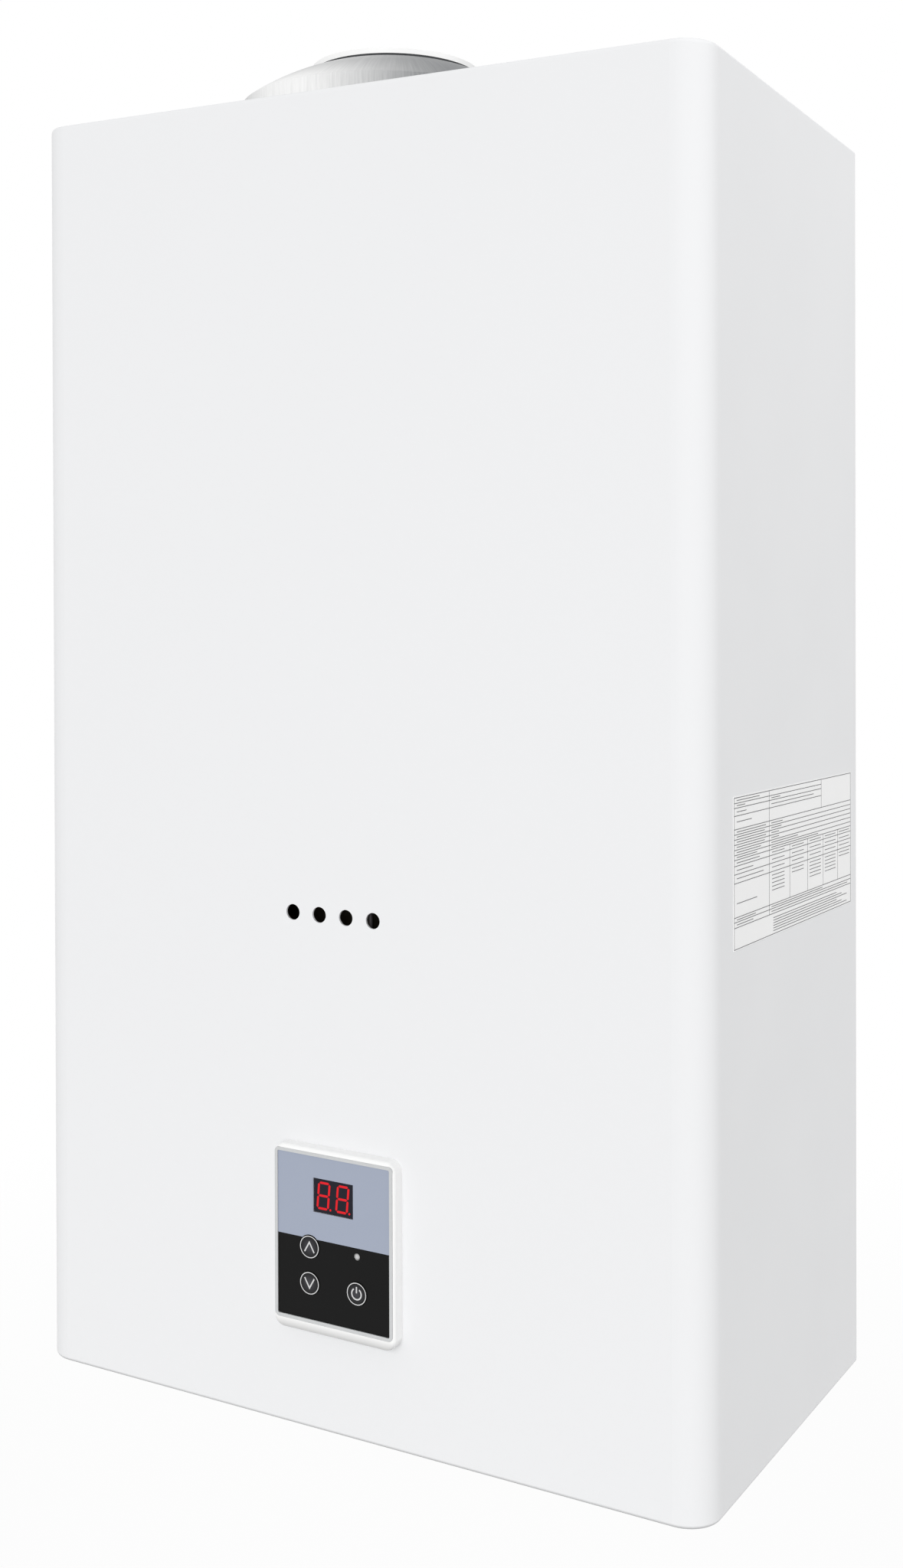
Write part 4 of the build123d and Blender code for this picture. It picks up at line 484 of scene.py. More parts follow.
def casting_finish(colours):
    """Die-cast aluminium with a blasted skin."""
    material, tree, shader = new_finish("casting_finish", Metallic=0.9)
    grain = use_group(tree, "grain", Scale=1400.0, Low=0.42, High=0.58)
    broad = noise(tree, object_place(tree), 45.0)
    base = mixed(tree, broad, colours.casting, tinted(colours.casting, 0.82))
    lay(tree, shader, base, grain["Roughness"], grain["Height"], 0.35, 0.4 * MM)
    return material


def steel_finish(colours):
    """Stainless steel with drawn lines."""
    material, tree, shader = new_finish("stainless_finish", Metallic=1.0)
    lines = use_group(tree, "brushed", Low=0.22, High=0.4)
    base = mixed(tree, lines["Height"], colours.steel, tinted(colours.steel, 0.86))
    lay(tree, shader, base, lines["Roughness"], lines["Height"], 0.06)
    return material


def moulded(name, tone, low, high, scale, bump, specular=0.5):
    """Maker of a moulded or printed finish with a fine grain, in one of the colours."""
    def make(colours):
        material, tree, shader = new_finish(name, Specular_IOR_Level=specular)
        grain = use_group(tree, "grain", Scale=scale, Low=low, High=high)
        base = getattr(colours, tone)
        toned = mixed(tree, grain["Height"], base, tinted(base, 1.12))
        lay(tree, shader, toned, grain["Roughness"], grain["Height"], bump, 0.3 * MM)
        return material
    return make


black_finish = moulded("black_plastic_finish", "black", 0.45, 0.58, 1600.0, 0.25)
grey_finish = moulded("grey_plastic_finish", "grey", 0.42, 0.55, 1600.0, 0.22)
trim_finish = moulded("trim_grey_finish", "trim", 0.28, 0.36, 900.0, 0.05)
lamp_finish = moulded("lamp_finish", "lamp", 0.3, 0.4, 1500.0, 0.03)
ceramic_finish = moulded("ceramic_finish", "ceramic", 0.2, 0.34, 500.0, 0.05)
paper_finish = moulded("label_finish", "paper", 0.46, 0.56, 1500.0, 0.05)
mark_finish = moulded("button_mark_finish", "mark", 0.4, 0.5, 2600.0, 0.05, 0.2)
ink_finish = moulded("label_rule_finish", "ink", 0.5, 0.6, 2600.0, 0.05, 0.2)


def gloss_finish(colours):
    """White gloss moulding of the bezel, with painted shade along its lower lip."""
    material, tree, shader = new_finish("white_gloss_finish", Coat_Weight=0.3)
    grain = use_group(tree, "grain", Scale=260.0, Low=0.16, High=0.22)
    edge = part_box("panel_bezel")[0].z
    # Painted shade: the bezel's white halves towards its lower lip, where the underside gets less light.
    lip_shade = ranged(tree, object_axes(tree)["Z"], edge, edge + LIP_SHADE_HEIGHT, 1.0, 0.0)
    base = mixed(tree, lip_shade, colours.gloss, tinted(colours.gloss, 0.5))
    lay(tree, shader, base, grain["Roughness"], grain["Height"], 0.02, 0.3 * MM)
    return material


def overlay_finish(colours):
    """Printed film: blue-grey above, black below, split on a level."""
    material, tree, shader = new_finish("overlay_finish", Specular_IOR_Level=0.12)
    low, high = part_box("panel_overlay")
    split = low.z + (high.z - low.z) * OVERLAY_SPLIT
    above = calc(tree, "GREATER_THAN", object_axes(tree)["Z"], split)
    grain = use_group(tree, "grain", Scale=2200.0, Low=0.34, High=0.42)
    blue = mixed(tree, grain["Height"], colours.overlay_high, tinted(colours.overlay_high, 0.96))
    base = mixed(tree, above, colours.overlay_low, blue)
    lay(tree, shader, base, grain["Roughness"], grain["Height"], 0.04, 0.1 * MM)
    return material


def button_finish(colours, name):
    """Key cap: dark, with a painted glint that makes its middle paler."""
    material, tree, shader = new_finish(name + "_finish", Specular_IOR_Level=0.2)
    middle, axes = middle_of(name), object_axes(tree)
    flat = add_node(tree, "CombineXYZ")
    join(tree, axes["X"], flat.inputs[0])
    join(tree, axes["Z"], flat.inputs[2])
    away = vector_calc(tree, "DISTANCE", flat.outputs[0], (middle.x, 0.0, middle.z))["Value"]
    # Painted glint: the cap pales towards its middle.
    fade = ranged(tree, away, 0.0, PAINTED_GLINT_RADIUS, 1.0, 0.0)
    grain = use_group(tree, "grain", Scale=1800.0, Low=0.32, High=0.4)
    base = mixed(tree, fade, colours.overlay_low, colours.key_painted_glint)
    lay(tree, shader, base, grain["Roughness"], grain["Height"], 0.04, 0.1 * MM)
    return material


def display_finish(colours):
    """Dark tinted face of the display."""
    material, tree, shader = new_finish("display_finish", Specular_IOR_Level=0.2)
    grain = use_group(tree, "grain", Scale=900.0, Low=0.2, High=0.28)
    base = mixed(tree, grain["Height"], colours.display, tinted(colours.display, 1.5))
    lay(tree, shader, base, grain["Roughness"])
    return material


def figure_finish(colours):
    """Lit red segments."""
    material, tree, shader = new_finish(
        "lit_segment_finish", Base_Color=colours.figure_base, Emission_Strength=0.85, Specular_IOR_Level=0.1
    )
    glow = noise(tree, object_place(tree), 700.0, 2.0)
    lit = mixed(tree, glow, colours.figure, tinted(colours.figure, 0.86))
    join(tree, lit, shader.inputs["Emission Color"])
    grain = use_group(tree, "grain", Scale=900.0, Low=0.4, High=0.5)
    join(tree, grain["Roughness"], shader.inputs["Roughness"])
    return material


def board_finish(colours):
    """Circuit board: green mask over fine tracks."""
    material, tree, shader = new_finish("board_finish", Coat_Weight=0.4)
    tracks = add_node(tree, "TexBrick", **TRACKS)
    turn = add_node(tree, "Mapping", Rotation=(QUARTER_TURN, 0.0, 0.0))
    join(tree, object_place(tree), turn.inputs["Vector"])
    join(tree, turn.outputs[0], tracks.inputs["Vector"])
    line = tracks.outputs["Fac"]
    grain = use_group(tree, "grain", Scale=1200.0, Low=0.32, High=0.42)
    base = mixed(tree, line, colours.board, tinted(colours.board, 1.7))
    lay(tree, shader, base, grain["Roughness"], line, 0.3, 0.03 * MM)
    return material


def mica_finish(colours):
    """Smoked mica pane."""
    material, tree, shader = new_finish(
        "mica_finish", Transmission_Weight=0.4, IOR=1.56, Specular_IOR_Level=0.25
    )
    tint = noise(tree, object_place(tree), 90.0, 5.0)
    grain = use_group(tree, "grain", Scale=300.0, Low=0.12, High=0.3)
    lay(tree, shader, mixed(tree, tint, colours.mica, colours.mica_cloud), grain["Roughness"])
    return material


def lead_finish(colours):
    """Insulated leads, a little paler in the upper half of the case."""
    material, tree, shader = new_finish("lead_finish")
    high = calc(tree, "GREATER_THAN", object_axes(tree)["Z"], HIGH_LEADS)
    grain = use_group(tree, "grain", Scale=1500.0, Low=0.45, High=0.58)
    base = mixed(tree, high, colours.lead, colours.lead_high)
    lay(tree, shader, base, grain["Roughness"], grain["Height"], 0.1)
    return material


def cell_finish(colours):
    """Dry cells: a plain sleeve with one pale band and bare metal ends."""
    material, tree, shader = new_finish("cell_finish")
    low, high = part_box("batteries")
    share = ranged(tree, object_axes(tree)["Z"], low.z, high.z, 0.0, 1.0)
    sleeve = mixed(tree, calc(tree, "COMPARE", share, *CELL_BAND), colours.sleeve, colours.band)
    away = calc(tree, "ABSOLUTE", calc(tree, "SUBTRACT", share, CELL_ENDS[0]))
    ends = calc(tree, "GREATER_THAN", away, CELL_ENDS[1])
    join(tree, ends, shader.inputs["Metallic"])
    grain = use_group(tree, "grain", Scale=900.0, Low=0.28, High=0.38)
    lay(tree, shader, mixed(tree, ends, sleeve, colours.steel), grain["Roughness"])
    return material


NODE_FINISHES = {
    "front_cover": enamel_finish,
    "flue_collar": spun_finish,
    "rating_label": paper_finish,
    "panel_bezel": gloss_finish,
    "panel_trim": trim_finish,
    "panel_overlay": overlay_finish,
    "display_module": display_finish,
    "indicator_lamp": lamp_finish,
    "panel_board": board_finish,
    "sight_window": mica_finish,
    "electrode_insulators": ceramic_finish,
    "wiring_leads": lead_finish,
    "batteries": cell_finish,
}
LIKE_NODES = {
    zinc_finish: (
        "back_plate", "bottom_plate", "top_plate", "support_brackets", "draught_hood", "draught_baffle",
        "burner_tray", "modulator_motor",
    ),
    copper_finish: (
        "exchanger_tubes", "exchanger_fins", "exchanger_frame", "combustion_chamber", "chamber_coil",
        "cold_pipe", "hot_pipe",
    ),
    brass_finish: (
        "injectors", "gas_inlet_fitting", "hot_outlet_fitting", "cold_inlet_fitting", "lock_nuts",
    ),
    casting_finish: ("gas_manifold", "gas_valve_body", "gas_elbow"),
    steel_finish: (
        "burner_blades", "electrode_rods", "solenoid_plunger", "plunger_spring", "modulator_spindle",
        "flow_axle", "battery_contacts", "cover_screws", "cover_nuts", "manifold_screws",
    ),
    black_finish: (
        "spill_thermostat", "solenoid_coil", "drain_knob", "flow_housing", "overheat_thermostat",
        "controller_case", "controller_lid", "key_switches",
    ),
    grey_finish: ("flow_rotor", "battery_box", "battery_door"),
}
BUTTONS = ("up_button", "down_button", "power_button")
FINISHES = {}


def finish_of(make, context):
    """Make each finish once."""
    if make not in FINISHES:
        FINISHES[make] = make(context.scene.heater_colours)
    return FINISHES[make]


def dress(name, material):
    """Give a CAD node its finish."""
    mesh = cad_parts[name].data
    mesh.materials.clear()
    mesh.materials.append(material)


# Meshes

NEAR, FINE = 1e-6, 1e-7


def mesh_of(bm, name):
    """Turn a working mesh into a lasting one."""
    mesh = bpy.data.meshes.new(name)
    bm.to_mesh(mesh)
    bm.free()
    return mesh


def place_object(name, data):
    made = bpy.data.objects.new(name, data)
    bpy.context.scene.collection.objects.link(made)
    return made


def add_into(bm, part):
    """Move one working mesh into another."""
    mesh = mesh_of(part, "passing")
    bm.from_mesh(mesh)
    bpy.data.meshes.remove(mesh)


def node_copy(name):
    """Working copy of a CAD node's mesh."""
    bm = bmesh.new()
    bm.from_mesh(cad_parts[name].data)
    return bm


def merge(bm, near=NEAR):
    bmesh.ops.remove_doubles(bm, verts=bm.verts, dist=near)


def picked(geometry, kind):
    """The vertices or edges in what an operator gives back."""
    return [g for g in geometry if isinstance(g, kind)]


def box_bar(bm, low, high):
    """Bar between two corners."""
    low, high = Vector(low), Vector(high)
    made = bmesh.ops.create_cube(bm, size=1.0)["verts"]
    bmesh.ops.scale(bm, vec=high - low, verts=made)
    bmesh.ops.translate(bm, vec=(low + high) / 2, verts=made)


def plate(bm, outline, depth):
    """Flat outline in X and Z, thickened towards the room."""
    made = [bm.verts.new((x, 0.0, z)) for x, z in outline]
    grown = bmesh.ops.extrude_face_region(bm, geom=[bm.faces.new(made)])["geom"]
    front = picked(grown, bmesh.types.BMVert)
    bmesh.ops.translate(bm, vec=(0.0, -depth, 0.0), verts=front)
    return made + front


def spun(bm, profile, centre, axis, angle=math.tau, steps=64, rise=0.0):
    """Turn a line about an axis; a rise makes a screw."""
    made = [bm.verts.new(p) for p in profile]
    edges = [bm.edges.new(pair) for pair in zip(made, made[1:])]
    full = abs(angle - math.tau) < 1e-6 and not rise
    shift = Vector(axis) * (rise / steps)
    bmesh.ops.spin(
        bm, geom=made + edges, cent=centre, axis=axis, dvec=shift, angle=angle, steps=steps,
        use_merge=full, use_duplicate=False,
    )


def settle(bm):
    """Merge doubles and turn every face outwards."""
    merge(bm, FINE)
    bmesh.ops.recalc_face_normals(bm, faces=bm.faces)


def make_piece(name, bm, material, body, sharp=35.0):
    """Finish a mesh as a piece that rides on a body."""
    mesh = mesh_of(bm, name)
    mesh.polygons.foreach_set("use_smooth", [True] * len(mesh.polygons))
    mesh.set_sharp_from_angle(angle=math.radians(sharp))
    mesh.materials.append(material)
    piece = place_object(name, mesh)
    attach(piece, body)
    return piece


def middle_of(name):
    low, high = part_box(name)
    return (low + high) / 2


def front_of(name):
    """Middle of the face that a node turns to the room."""
    place = middle_of(name)
    place.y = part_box(name)[0].y
    return place


# Stage

KEY_PLACE, KEY_AIM, KEY_SIZE = (1.85, -9.7, 1.78), (0.0, -0.1, -0.3), 6.4
SIDE_PLACE, SIDE_AIM, SIDE_SIZE = (1.1, 0.0, 0.6), (0.17, -0.1, -0.1), 0.7
CARD_PLACE, CARD_SIZE = (-1.7, 2.6, 0.95), (3.0, 1.5)
CARD_TONES = (0.1, 0.1, 0.1, 1.0), (0.16, 0.16, 0.16, 1.0)
CARD_HIDDEN_FROM = ("camera", "diffuse", "transmission", "shadow", "volume_scatter")
FLOOR_TONES = (0.9, 0.9, 0.9, 1.0), (0.88, 0.88, 0.88, 1.0)
FLOOR_FADE = (0.3, 0.62)
CAMERA_PLACE = (0.43207, -0.87375, -0.24389)
CAMERA_YAW = 0.50345
CAMERA_PITCH = -0.00735
CAMERA_ROLL = -0.00276
CAMERA_SHIFT = (-0.0065, -0.0984)
CAMERA_SKEW = 0.02307
CAMERA_SENSOR = 36.0
CAMERA_CLIP = (0.01, 50.0)


class HEATER_OT_stage(bpy.types.Operator):
    """Floor, soft light, white surround and the camera"""

    bl_idname = "heater.stage"
    bl_label = "Stage"

    def execute(self, context):
        stage = context.scene.heater_stage
        lay_floor(stage)
        light_world(context.scene, stage.ambient)
        add_softbox("key_softbox", KEY_PLACE, KEY_AIM, KEY_SIZE, stage.key)
        add_softbox("side_softbox", SIDE_PLACE, SIDE_AIM, SIDE_SIZE, stage.side)
        hang_card("back_card", CARD_PLACE, CARD_SIZE)
        context.scene.view_settings.view_transform = "Standard"
        place_camera(context.scene, stage.lens)
        return {"FINISHED"}


def lay_floor(stage):
    """Pale floor that fades out into the white surround."""
    level = CAD_BOX[0][2] - stage.floor_drop
    bm = bmesh.new()
    bmesh.ops.create_circle(bm, cap_ends=True, segments=96, radius=stage.floor_radius)
    bmesh.ops.translate(bm, vec=(0.0, 0.0, level), verts=bm.verts)
    floor = place_object("studio_floor", mesh_of(bm, "studio_floor"))
    floor.data.materials.append(floor_finish(stage.floor_radius, stage.floor_glow))


def mixed_shaders(tree, factor, first, second):
    made = add_node(tree, "MixShader")
    for socket, source in zip(made.inputs, (factor, first, second)):
        join(tree, source, socket)
    return made.outputs[0]


def floor_finish(radius, glow):
    """White floor that keeps a soft shadow, thins to nothing at its edge and is clear from below."""
    material, tree, shader = new_finish("studio_floor_finish", Roughness=0.7, Specular_IOR_Level=0.1)
    place = object_place(tree)
    join(tree, mixed(tree, noise(tree, place, 3.0), *FLOOR_TONES), shader.inputs["Base Color"])
    white = add_node(tree, "Emission", Strength=1.0).outputs[0]
    share = calc(tree, "MULTIPLY", seen_directly(tree), glow)
    lit = mixed_shaders(tree, share, shader.outputs[0], white)
    flat = vector_calc(tree, "MULTIPLY", place, (1.0, 1.0, 0.0))[0]
    away = vector_calc(tree, "LENGTH", flat)["Value"]
    fade = ranged(tree, away, radius * FLOOR_FADE[0], radius * FLOOR_FADE[1], 0.0, 1.0)
    below = add_node(tree, "NewGeometry").outputs["Backfacing"]
    clear = add_node(tree, "BsdfTransparent").outputs[0]
    whole = mixed_shaders(tree, calc(tree, "MAXIMUM", fade, below), lit, clear)
    join(tree, whole, tree.nodes["Material Output"].inputs["Surface"])
    return material


def light_world(scene, ambient):
    """White to the camera, an even softer light to everything else."""
    world = bpy.data.worlds.new("studio_surround")
    scene.world = world
    world.use_nodes = True
    tree = world.node_tree
    back = tree.nodes["Background"]
    back.inputs["Color"].default_value = (1.0, 1.0, 1.0, 1.0)
    join(tree, ranged(tree, seen_directly(tree), 0.0, 1.0, ambient, 1.0), back.inputs["Strength"])


def add_softbox(name, place, aim, size, watts):
    """Square area light turned to a point."""
    light = bpy.data.lights.new(name, "AREA")
    light.shape = "SQUARE"
    light.size = size
    light.energy = watts
    lamp = place_object(name, light)
    lamp.location = place
    lamp.rotation_euler = (Vector(aim) - Vector(place)).to_track_quat("-Z", "Y").to_euler()
    lamp.visible_glossy = False


def hang_card(name, place, size):
    """Dark card that only shows in polished metal, as a studio hangs one."""
    bm = bmesh.new()
    bmesh.ops.create_grid(bm, x_segments=1, y_segments=1, size=0.5)
    bmesh.ops.scale(bm, vec=(*size, 1.0), verts=bm.verts)
    bmesh.ops.rotate(bm, matrix=Matrix.Rotation(QUARTER_TURN, 3, "X"), verts=bm.verts)
    bmesh.ops.translate(bm, vec=place, verts=bm.verts)
    material, tree, shader = new_finish(name + "_finish", Roughness=1.0, Emission_Strength=1.0)
    tone = noise(tree, object_place(tree), 2.0)
    join(tree, mixed(tree, tone, *CARD_TONES), shader.inputs["Emission Color"])
    card = place_object(name, mesh_of(bm, name))
    card.data.materials.append(material)
    for ray in CARD_HIDDEN_FROM:
        setattr(card, "visible_" + ray, False)


def place_camera(scene, lens):
    """Camera at the photograph's viewpoint, with the slight skew of its picture."""
    data = bpy.data.cameras.new("heater_camera")
    data.sensor_width = CAMERA_SENSOR
    data.lens = lens
    data.shift_x, data.shift_y = CAMERA_SHIFT
    data.clip_start, data.clip_end = CAMERA_CLIP
    camera = place_object("heater_camera", data)
    turn = Matrix.Rotation(CAMERA_YAW, 4, "Z") @ Matrix.Rotation(QUARTER_TURN + CAMERA_PITCH, 4, "X")
    turn = turn @ Matrix.Rotation(CAMERA_ROLL, 4, "Z")
    place = Matrix.Translation(CAMERA_PLACE) @ turn
    camera.matrix_world = place
    camera.parent = place_object("heater_camera_rig", None)
    skew = Matrix.Identity(4)
    skew[1][0] = CAMERA_SKEW
    camera.matrix_parent_inverse = place @ skew @ place.inverted()
    scene.camera = camera


# Finishes on the CAD nodes

class HEATER_OT_finishes(bpy.types.Operator):
    """Give every CAD node its finish"""

    bl_idname = "heater.finishes"
    bl_label = "Finishes"

    def execute(self, context):
        plan = dict(NODE_FINISHES)
        for make, names in LIKE_NODES.items():
            plan.update(dict.fromkeys(names, make))
        for name, make in plan.items():
            dress(name, finish_of(make, context))
        for name in BUTTONS:
            dress(name, button_finish(context.scene.heater_colours, name))
        bare = sorted(set(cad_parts) - set(plan) - set(BUTTONS))
        if bare:
            raise RuntimeError(f"nodes without a finish: {bare}")
        return {"FINISHED"}


# Display figures

FIGURE_OFFSETS = (-5.15 * MM, 4.55 * MM)
FIGURE_LIFT = 0.1 * MM
FIGURE_SLANT = 0.085
SEGMENTS = ((0, 1), (1, 2), (2, 3), (4, 3), (5, 4), (0, 5), (5, 2))
SEGMENT_GAP, SEGMENT_TIP = 0.26, 0.5
POINT_REACH, POINT_RADIUS = 1.35, 0.52


class HEATER_OT_figures(bpy.types.Operator):
    """Two lit seven-segment figures with their points"""

    bl_idname = "heater.figures"
    bl_label = "Display Figures"

    def execute(self, context):
        bm = bmesh.new()
        for offset in FIGURE_OFFSETS:
            centre = front_of("display_module") + Vector((offset, 0.0, FIGURE_LIFT))
            draw_figure(bm, context.scene.heater_sizes, centre)
        bmesh.ops.recalc_face_normals(bm, faces=bm.faces)
        make_piece("display_figures", bm, finish_of(figure_finish, context), "cover")
        return {"FINISHED"}


def draw_figure(bm, sizes, centre):
    """One slanted figure eight and its point, standing on the display face."""
    stroke, rise = sizes.figure_stroke, sizes.print_rise * 2
    half_w, half_h = (sizes.figure_width - stroke) / 2, (sizes.figure_height - stroke) / 2
    right = [(half_w, half_h), (half_w, 0), (half_w, -half_h)]
    corners = [(-half_w, half_h)] + right + [(-half_w, -half_h), (-half_w, 0)]
    made = []
    for start, end in SEGMENTS:
        made += plate(bm, segment_outline(corners[start], corners[end], stroke), rise)
    dot = bmesh.ops.create_circle(bm, cap_ends=True, segments=24, radius=stroke * POINT_RADIUS)["verts"]
    bmesh.ops.rotate(bm, matrix=Matrix.Rotation(QUARTER_TURN, 3, "X"), verts=dot)
    bmesh.ops.translate(bm, vec=(half_w + stroke * POINT_REACH, -rise, -half_h), verts=dot)
    lean = Matrix.Identity(4)
    lean[0][2] = FIGURE_SLANT
    bmesh.ops.transform(bm, matrix=Matrix.Translation(centre) @ lean, verts=made + dot)


def segment_outline(start, end, stroke):
    """Six-sided bar between two corners of a figure, a little short at each end."""
    start, end = Vector(start), Vector(end)
    along = (end - start).normalized()
    across = Vector((-along.y, along.x)) * (stroke / 2)
    gap, tip = along * stroke * SEGMENT_GAP, along * stroke * SEGMENT_TIP
    a, b = start + gap, end - gap
    ring = [a, a + tip + across, b - tip + across, b, b - tip - across, a + tip - across]
    return [(p.x, p.y) for p in ring]


# Button marks

CHEVRON_ARM = Vector((2.75 * MM, 4.8 * MM))
CHEVRON_TOP = 2.7 * MM
POWER_RADIUS = 2.7 * MM
POWER_BAR = (0.35 * MM, 3.1 * MM)
POWER_GAP = math.radians(34)


class HEATER_OT_button_marks(bpy.types.Operator):
    """Rings and signs on the three buttons"""

    bl_idname = "heater.button_marks"
    bl_label = "Button Marks"

    def execute(self, context):
        sizes = context.scene.heater_sizes
        for name in BUTTONS:
            bm = bmesh.new()
            flat_ring(bm, sizes.ring_radius - sizes.ring_width, sizes.ring_radius, sizes.print_rise)
            if name == "power_button":
                draw_power(bm, sizes)
            else:
                draw_chevron(bm, sizes, 1.0 if name == "up_button" else -1.0)
            bmesh.ops.translate(bm, vec=front_of(name), verts=bm.verts)
            settle(bm)
            make_piece(name + "_mark", bm, finish_of(mark_finish, context), name)
        return {"FINISHED"}


def flat_ring(bm, inner, outer, rise, start=0.0, angle=math.tau):
    """Flat ring or arc facing the room, measured from the top."""
    turn = Matrix.Rotation(start, 3, "Y")
    corners = [(0, 0, inner), (0, 0, outer), (0, -rise, outer), (0, -rise, inner), (0, 0, inner)]
    profile = [turn @ Vector(c) for c in corners]
    spun(bm, profile, (0, 0, 0), (0, 1, 0), angle, 72)


def draw_chevron(bm, sizes, way):
    """Open arrow head, pointing up or down."""
    arm, top, stroke = CHEVRON_ARM, CHEVRON_TOP, sizes.sign_stroke
    across = Vector((arm.y, arm.x)).normalized() * stroke
    drop, foot = stroke * arm.length / arm.x, top - arm.y
    outline = [
        (-arm.x, foot), (0.0, top), (arm.x, foot), (arm.x - across.x, foot - across.y),
        (0.0, top - drop), (across.x - arm.x, foot - across.y),
    ]
    plate(bm, [(x, z * way) for x, z in outline], sizes.print_rise)


def draw_power(bm, sizes):
    """Broken ring with a bar at its gap."""
    stroke, rise = sizes.sign_stroke, sizes.print_rise
    flat_ring(bm, POWER_RADIUS - stroke, POWER_RADIUS, rise, POWER_GAP, math.tau - 2 * POWER_GAP)
    box_bar(bm, (-stroke / 2, -rise, POWER_BAR[0]), (stroke / 2, 0.0, POWER_BAR[1]))


# Label

# Rows have a height and a right-hand end, columns a place and their lower and upper heights, and plain bars
# a left-hand end, a height and a length, all as shares of the sheet
FULL_ROWS = (
    0.0, 0.142, 0.178, 0.209, 0.435, 0.494, 0.549, 0.589, 0.621, 0.655, 0.689, 0.723, 0.756, 0.791, 1.0,
)
SHORT_ROWS, SHORT_END = (0.88, 0.932, 0.964), 0.716
LABEL_ROWS = [(level, 1.0) for level in FULL_ROWS] + [(level, SHORT_END) for level in SHORT_ROWS]
LABEL_COLUMNS = (
    (0.0, 0.0, 1.0), (1.0, 0.0, 1.0), (0.267, 0.142, 1.0), (SHORT_END, 0.791, 1.0),
    *((place, 0.209, 0.589) for place in (0.436, 0.592, 0.733, 0.872)),
)
FIRST_BARS = (
    (0.16, 0.12), (0.193, 0.14), (0.3, 0.15), (0.465, 0.2), (0.52, 0.12), (0.569, 0.17), (0.605, 0.15),
    (0.638, 0.18), (0.672, 0.21), (0.706, 0.22), (0.74, 0.21), (0.773, 0.22), (0.84, 0.11), (0.906, 0.07),
    (0.948, 0.06), (0.982, 0.17),
)
SECOND_BARS = (
    (0.16, 0.68), (0.193, 0.44), (0.605, 0.4), (0.638, 0.22), (0.672, 0.06), (0.706, 0.06), (0.74, 0.08),
    (0.773, 0.09), (0.906, 0.36), (0.948, 0.07),
)
CELL_BARS = (
    ((0.29, 0.455, 0.61, 0.75, 0.885), (0.41, 0.384, 0.465, 0.52, 0.569)),
    ((0.29, 0.61, 0.75), (0.358, 0.332, 0.306)),
)
FIRST_LEFT, SECOND_LEFT, FOOT_LEFT, CELL_REACH = 0.02, 0.285, 0.3, 0.1
LABEL_BARS = (
    [(FIRST_LEFT, level, reach) for level, reach in FIRST_BARS]
    + [(SECOND_LEFT, level, reach) for level, reach in SECOND_BARS]
    + [(left, level, CELL_REACH) for lefts, levels in CELL_BARS for left in lefts for level in levels]
    + [(FOOT_LEFT, 0.022 + 0.018 * step, 0.66 - 0.05 * (step % 3)) for step in range(6)]
)


class HEATER_OT_label_rules(bpy.types.Operator):
    """Border, ruled lines and plain bars of the wordless label"""

    bl_idname = "heater.label_rules"
    bl_label = "Label Rules"

    def execute(self, context):
        sizes = context.scene.heater_sizes
        low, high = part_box("rating_label")
        inset = Vector((0.0, sizes.label_margin, sizes.label_margin))
        corner, span = low + inset, high - low - 2 * inset
        bm = bmesh.new()

        def bar(left, right, bottom, top, wide):
            """Bar between two places on the sheet, grown all round by half a width."""
            grow = Vector((0.0, wide / 2, wide / 2))
            first = Vector((high.x, corner.y + span.y * left, corner.z + span.z * bottom))
            last = Vector((high.x + sizes.print_rise, corner.y + span.y * right, corner.z + span.z * top))
            box_bar(bm, first - grow, last + grow)

        for level, end in LABEL_ROWS:
            bar(0.0, end, level, level, sizes.rule_width)
        for place, bottom, top in LABEL_COLUMNS:
            bar(place, place, bottom, top, sizes.rule_width)
        for place, level, reach in LABEL_BARS:
            bar(place, place + reach, level, level, sizes.bar_width)
        bmesh.ops.recalc_face_normals(bm, faces=bm.faces)
        make_piece("label_rules", bm, finish_of(ink_finish, context), "cover")
        return {"FINISHED"}


# Flue collar

class HEATER_OT_collar(bpy.types.Operator):
    """Spun flue collar with a soft shoulder and a rounded lip"""

    bl_idname = "heater.collar"
    bl_label = "Flue Collar"

    def execute(self, context):
        low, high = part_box("flue_collar")
        middle = middle_of("flue_collar")
        bm = bmesh.new()
        draw_collar(bm, context.scene.heater_sizes, high.z - low.z)
        bmesh.ops.spin(
            bm, geom=bm.verts[:] + bm.edges[:], cent=(0, 0, 0), axis=(0, 0, 1), angle=math.tau, steps=128,
            use_merge=True, use_duplicate=False,
        )
        settle(bm)
        bmesh.ops.translate(bm, vec=(middle.x, middle.y, low.z), verts=bm.verts)
        zinc = finish_of(spun_finish, context)
        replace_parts(make_piece("flue_collar_spun", bm, zinc, "chassis", 40.0), "flue_collar")
        return {"FINISHED"}


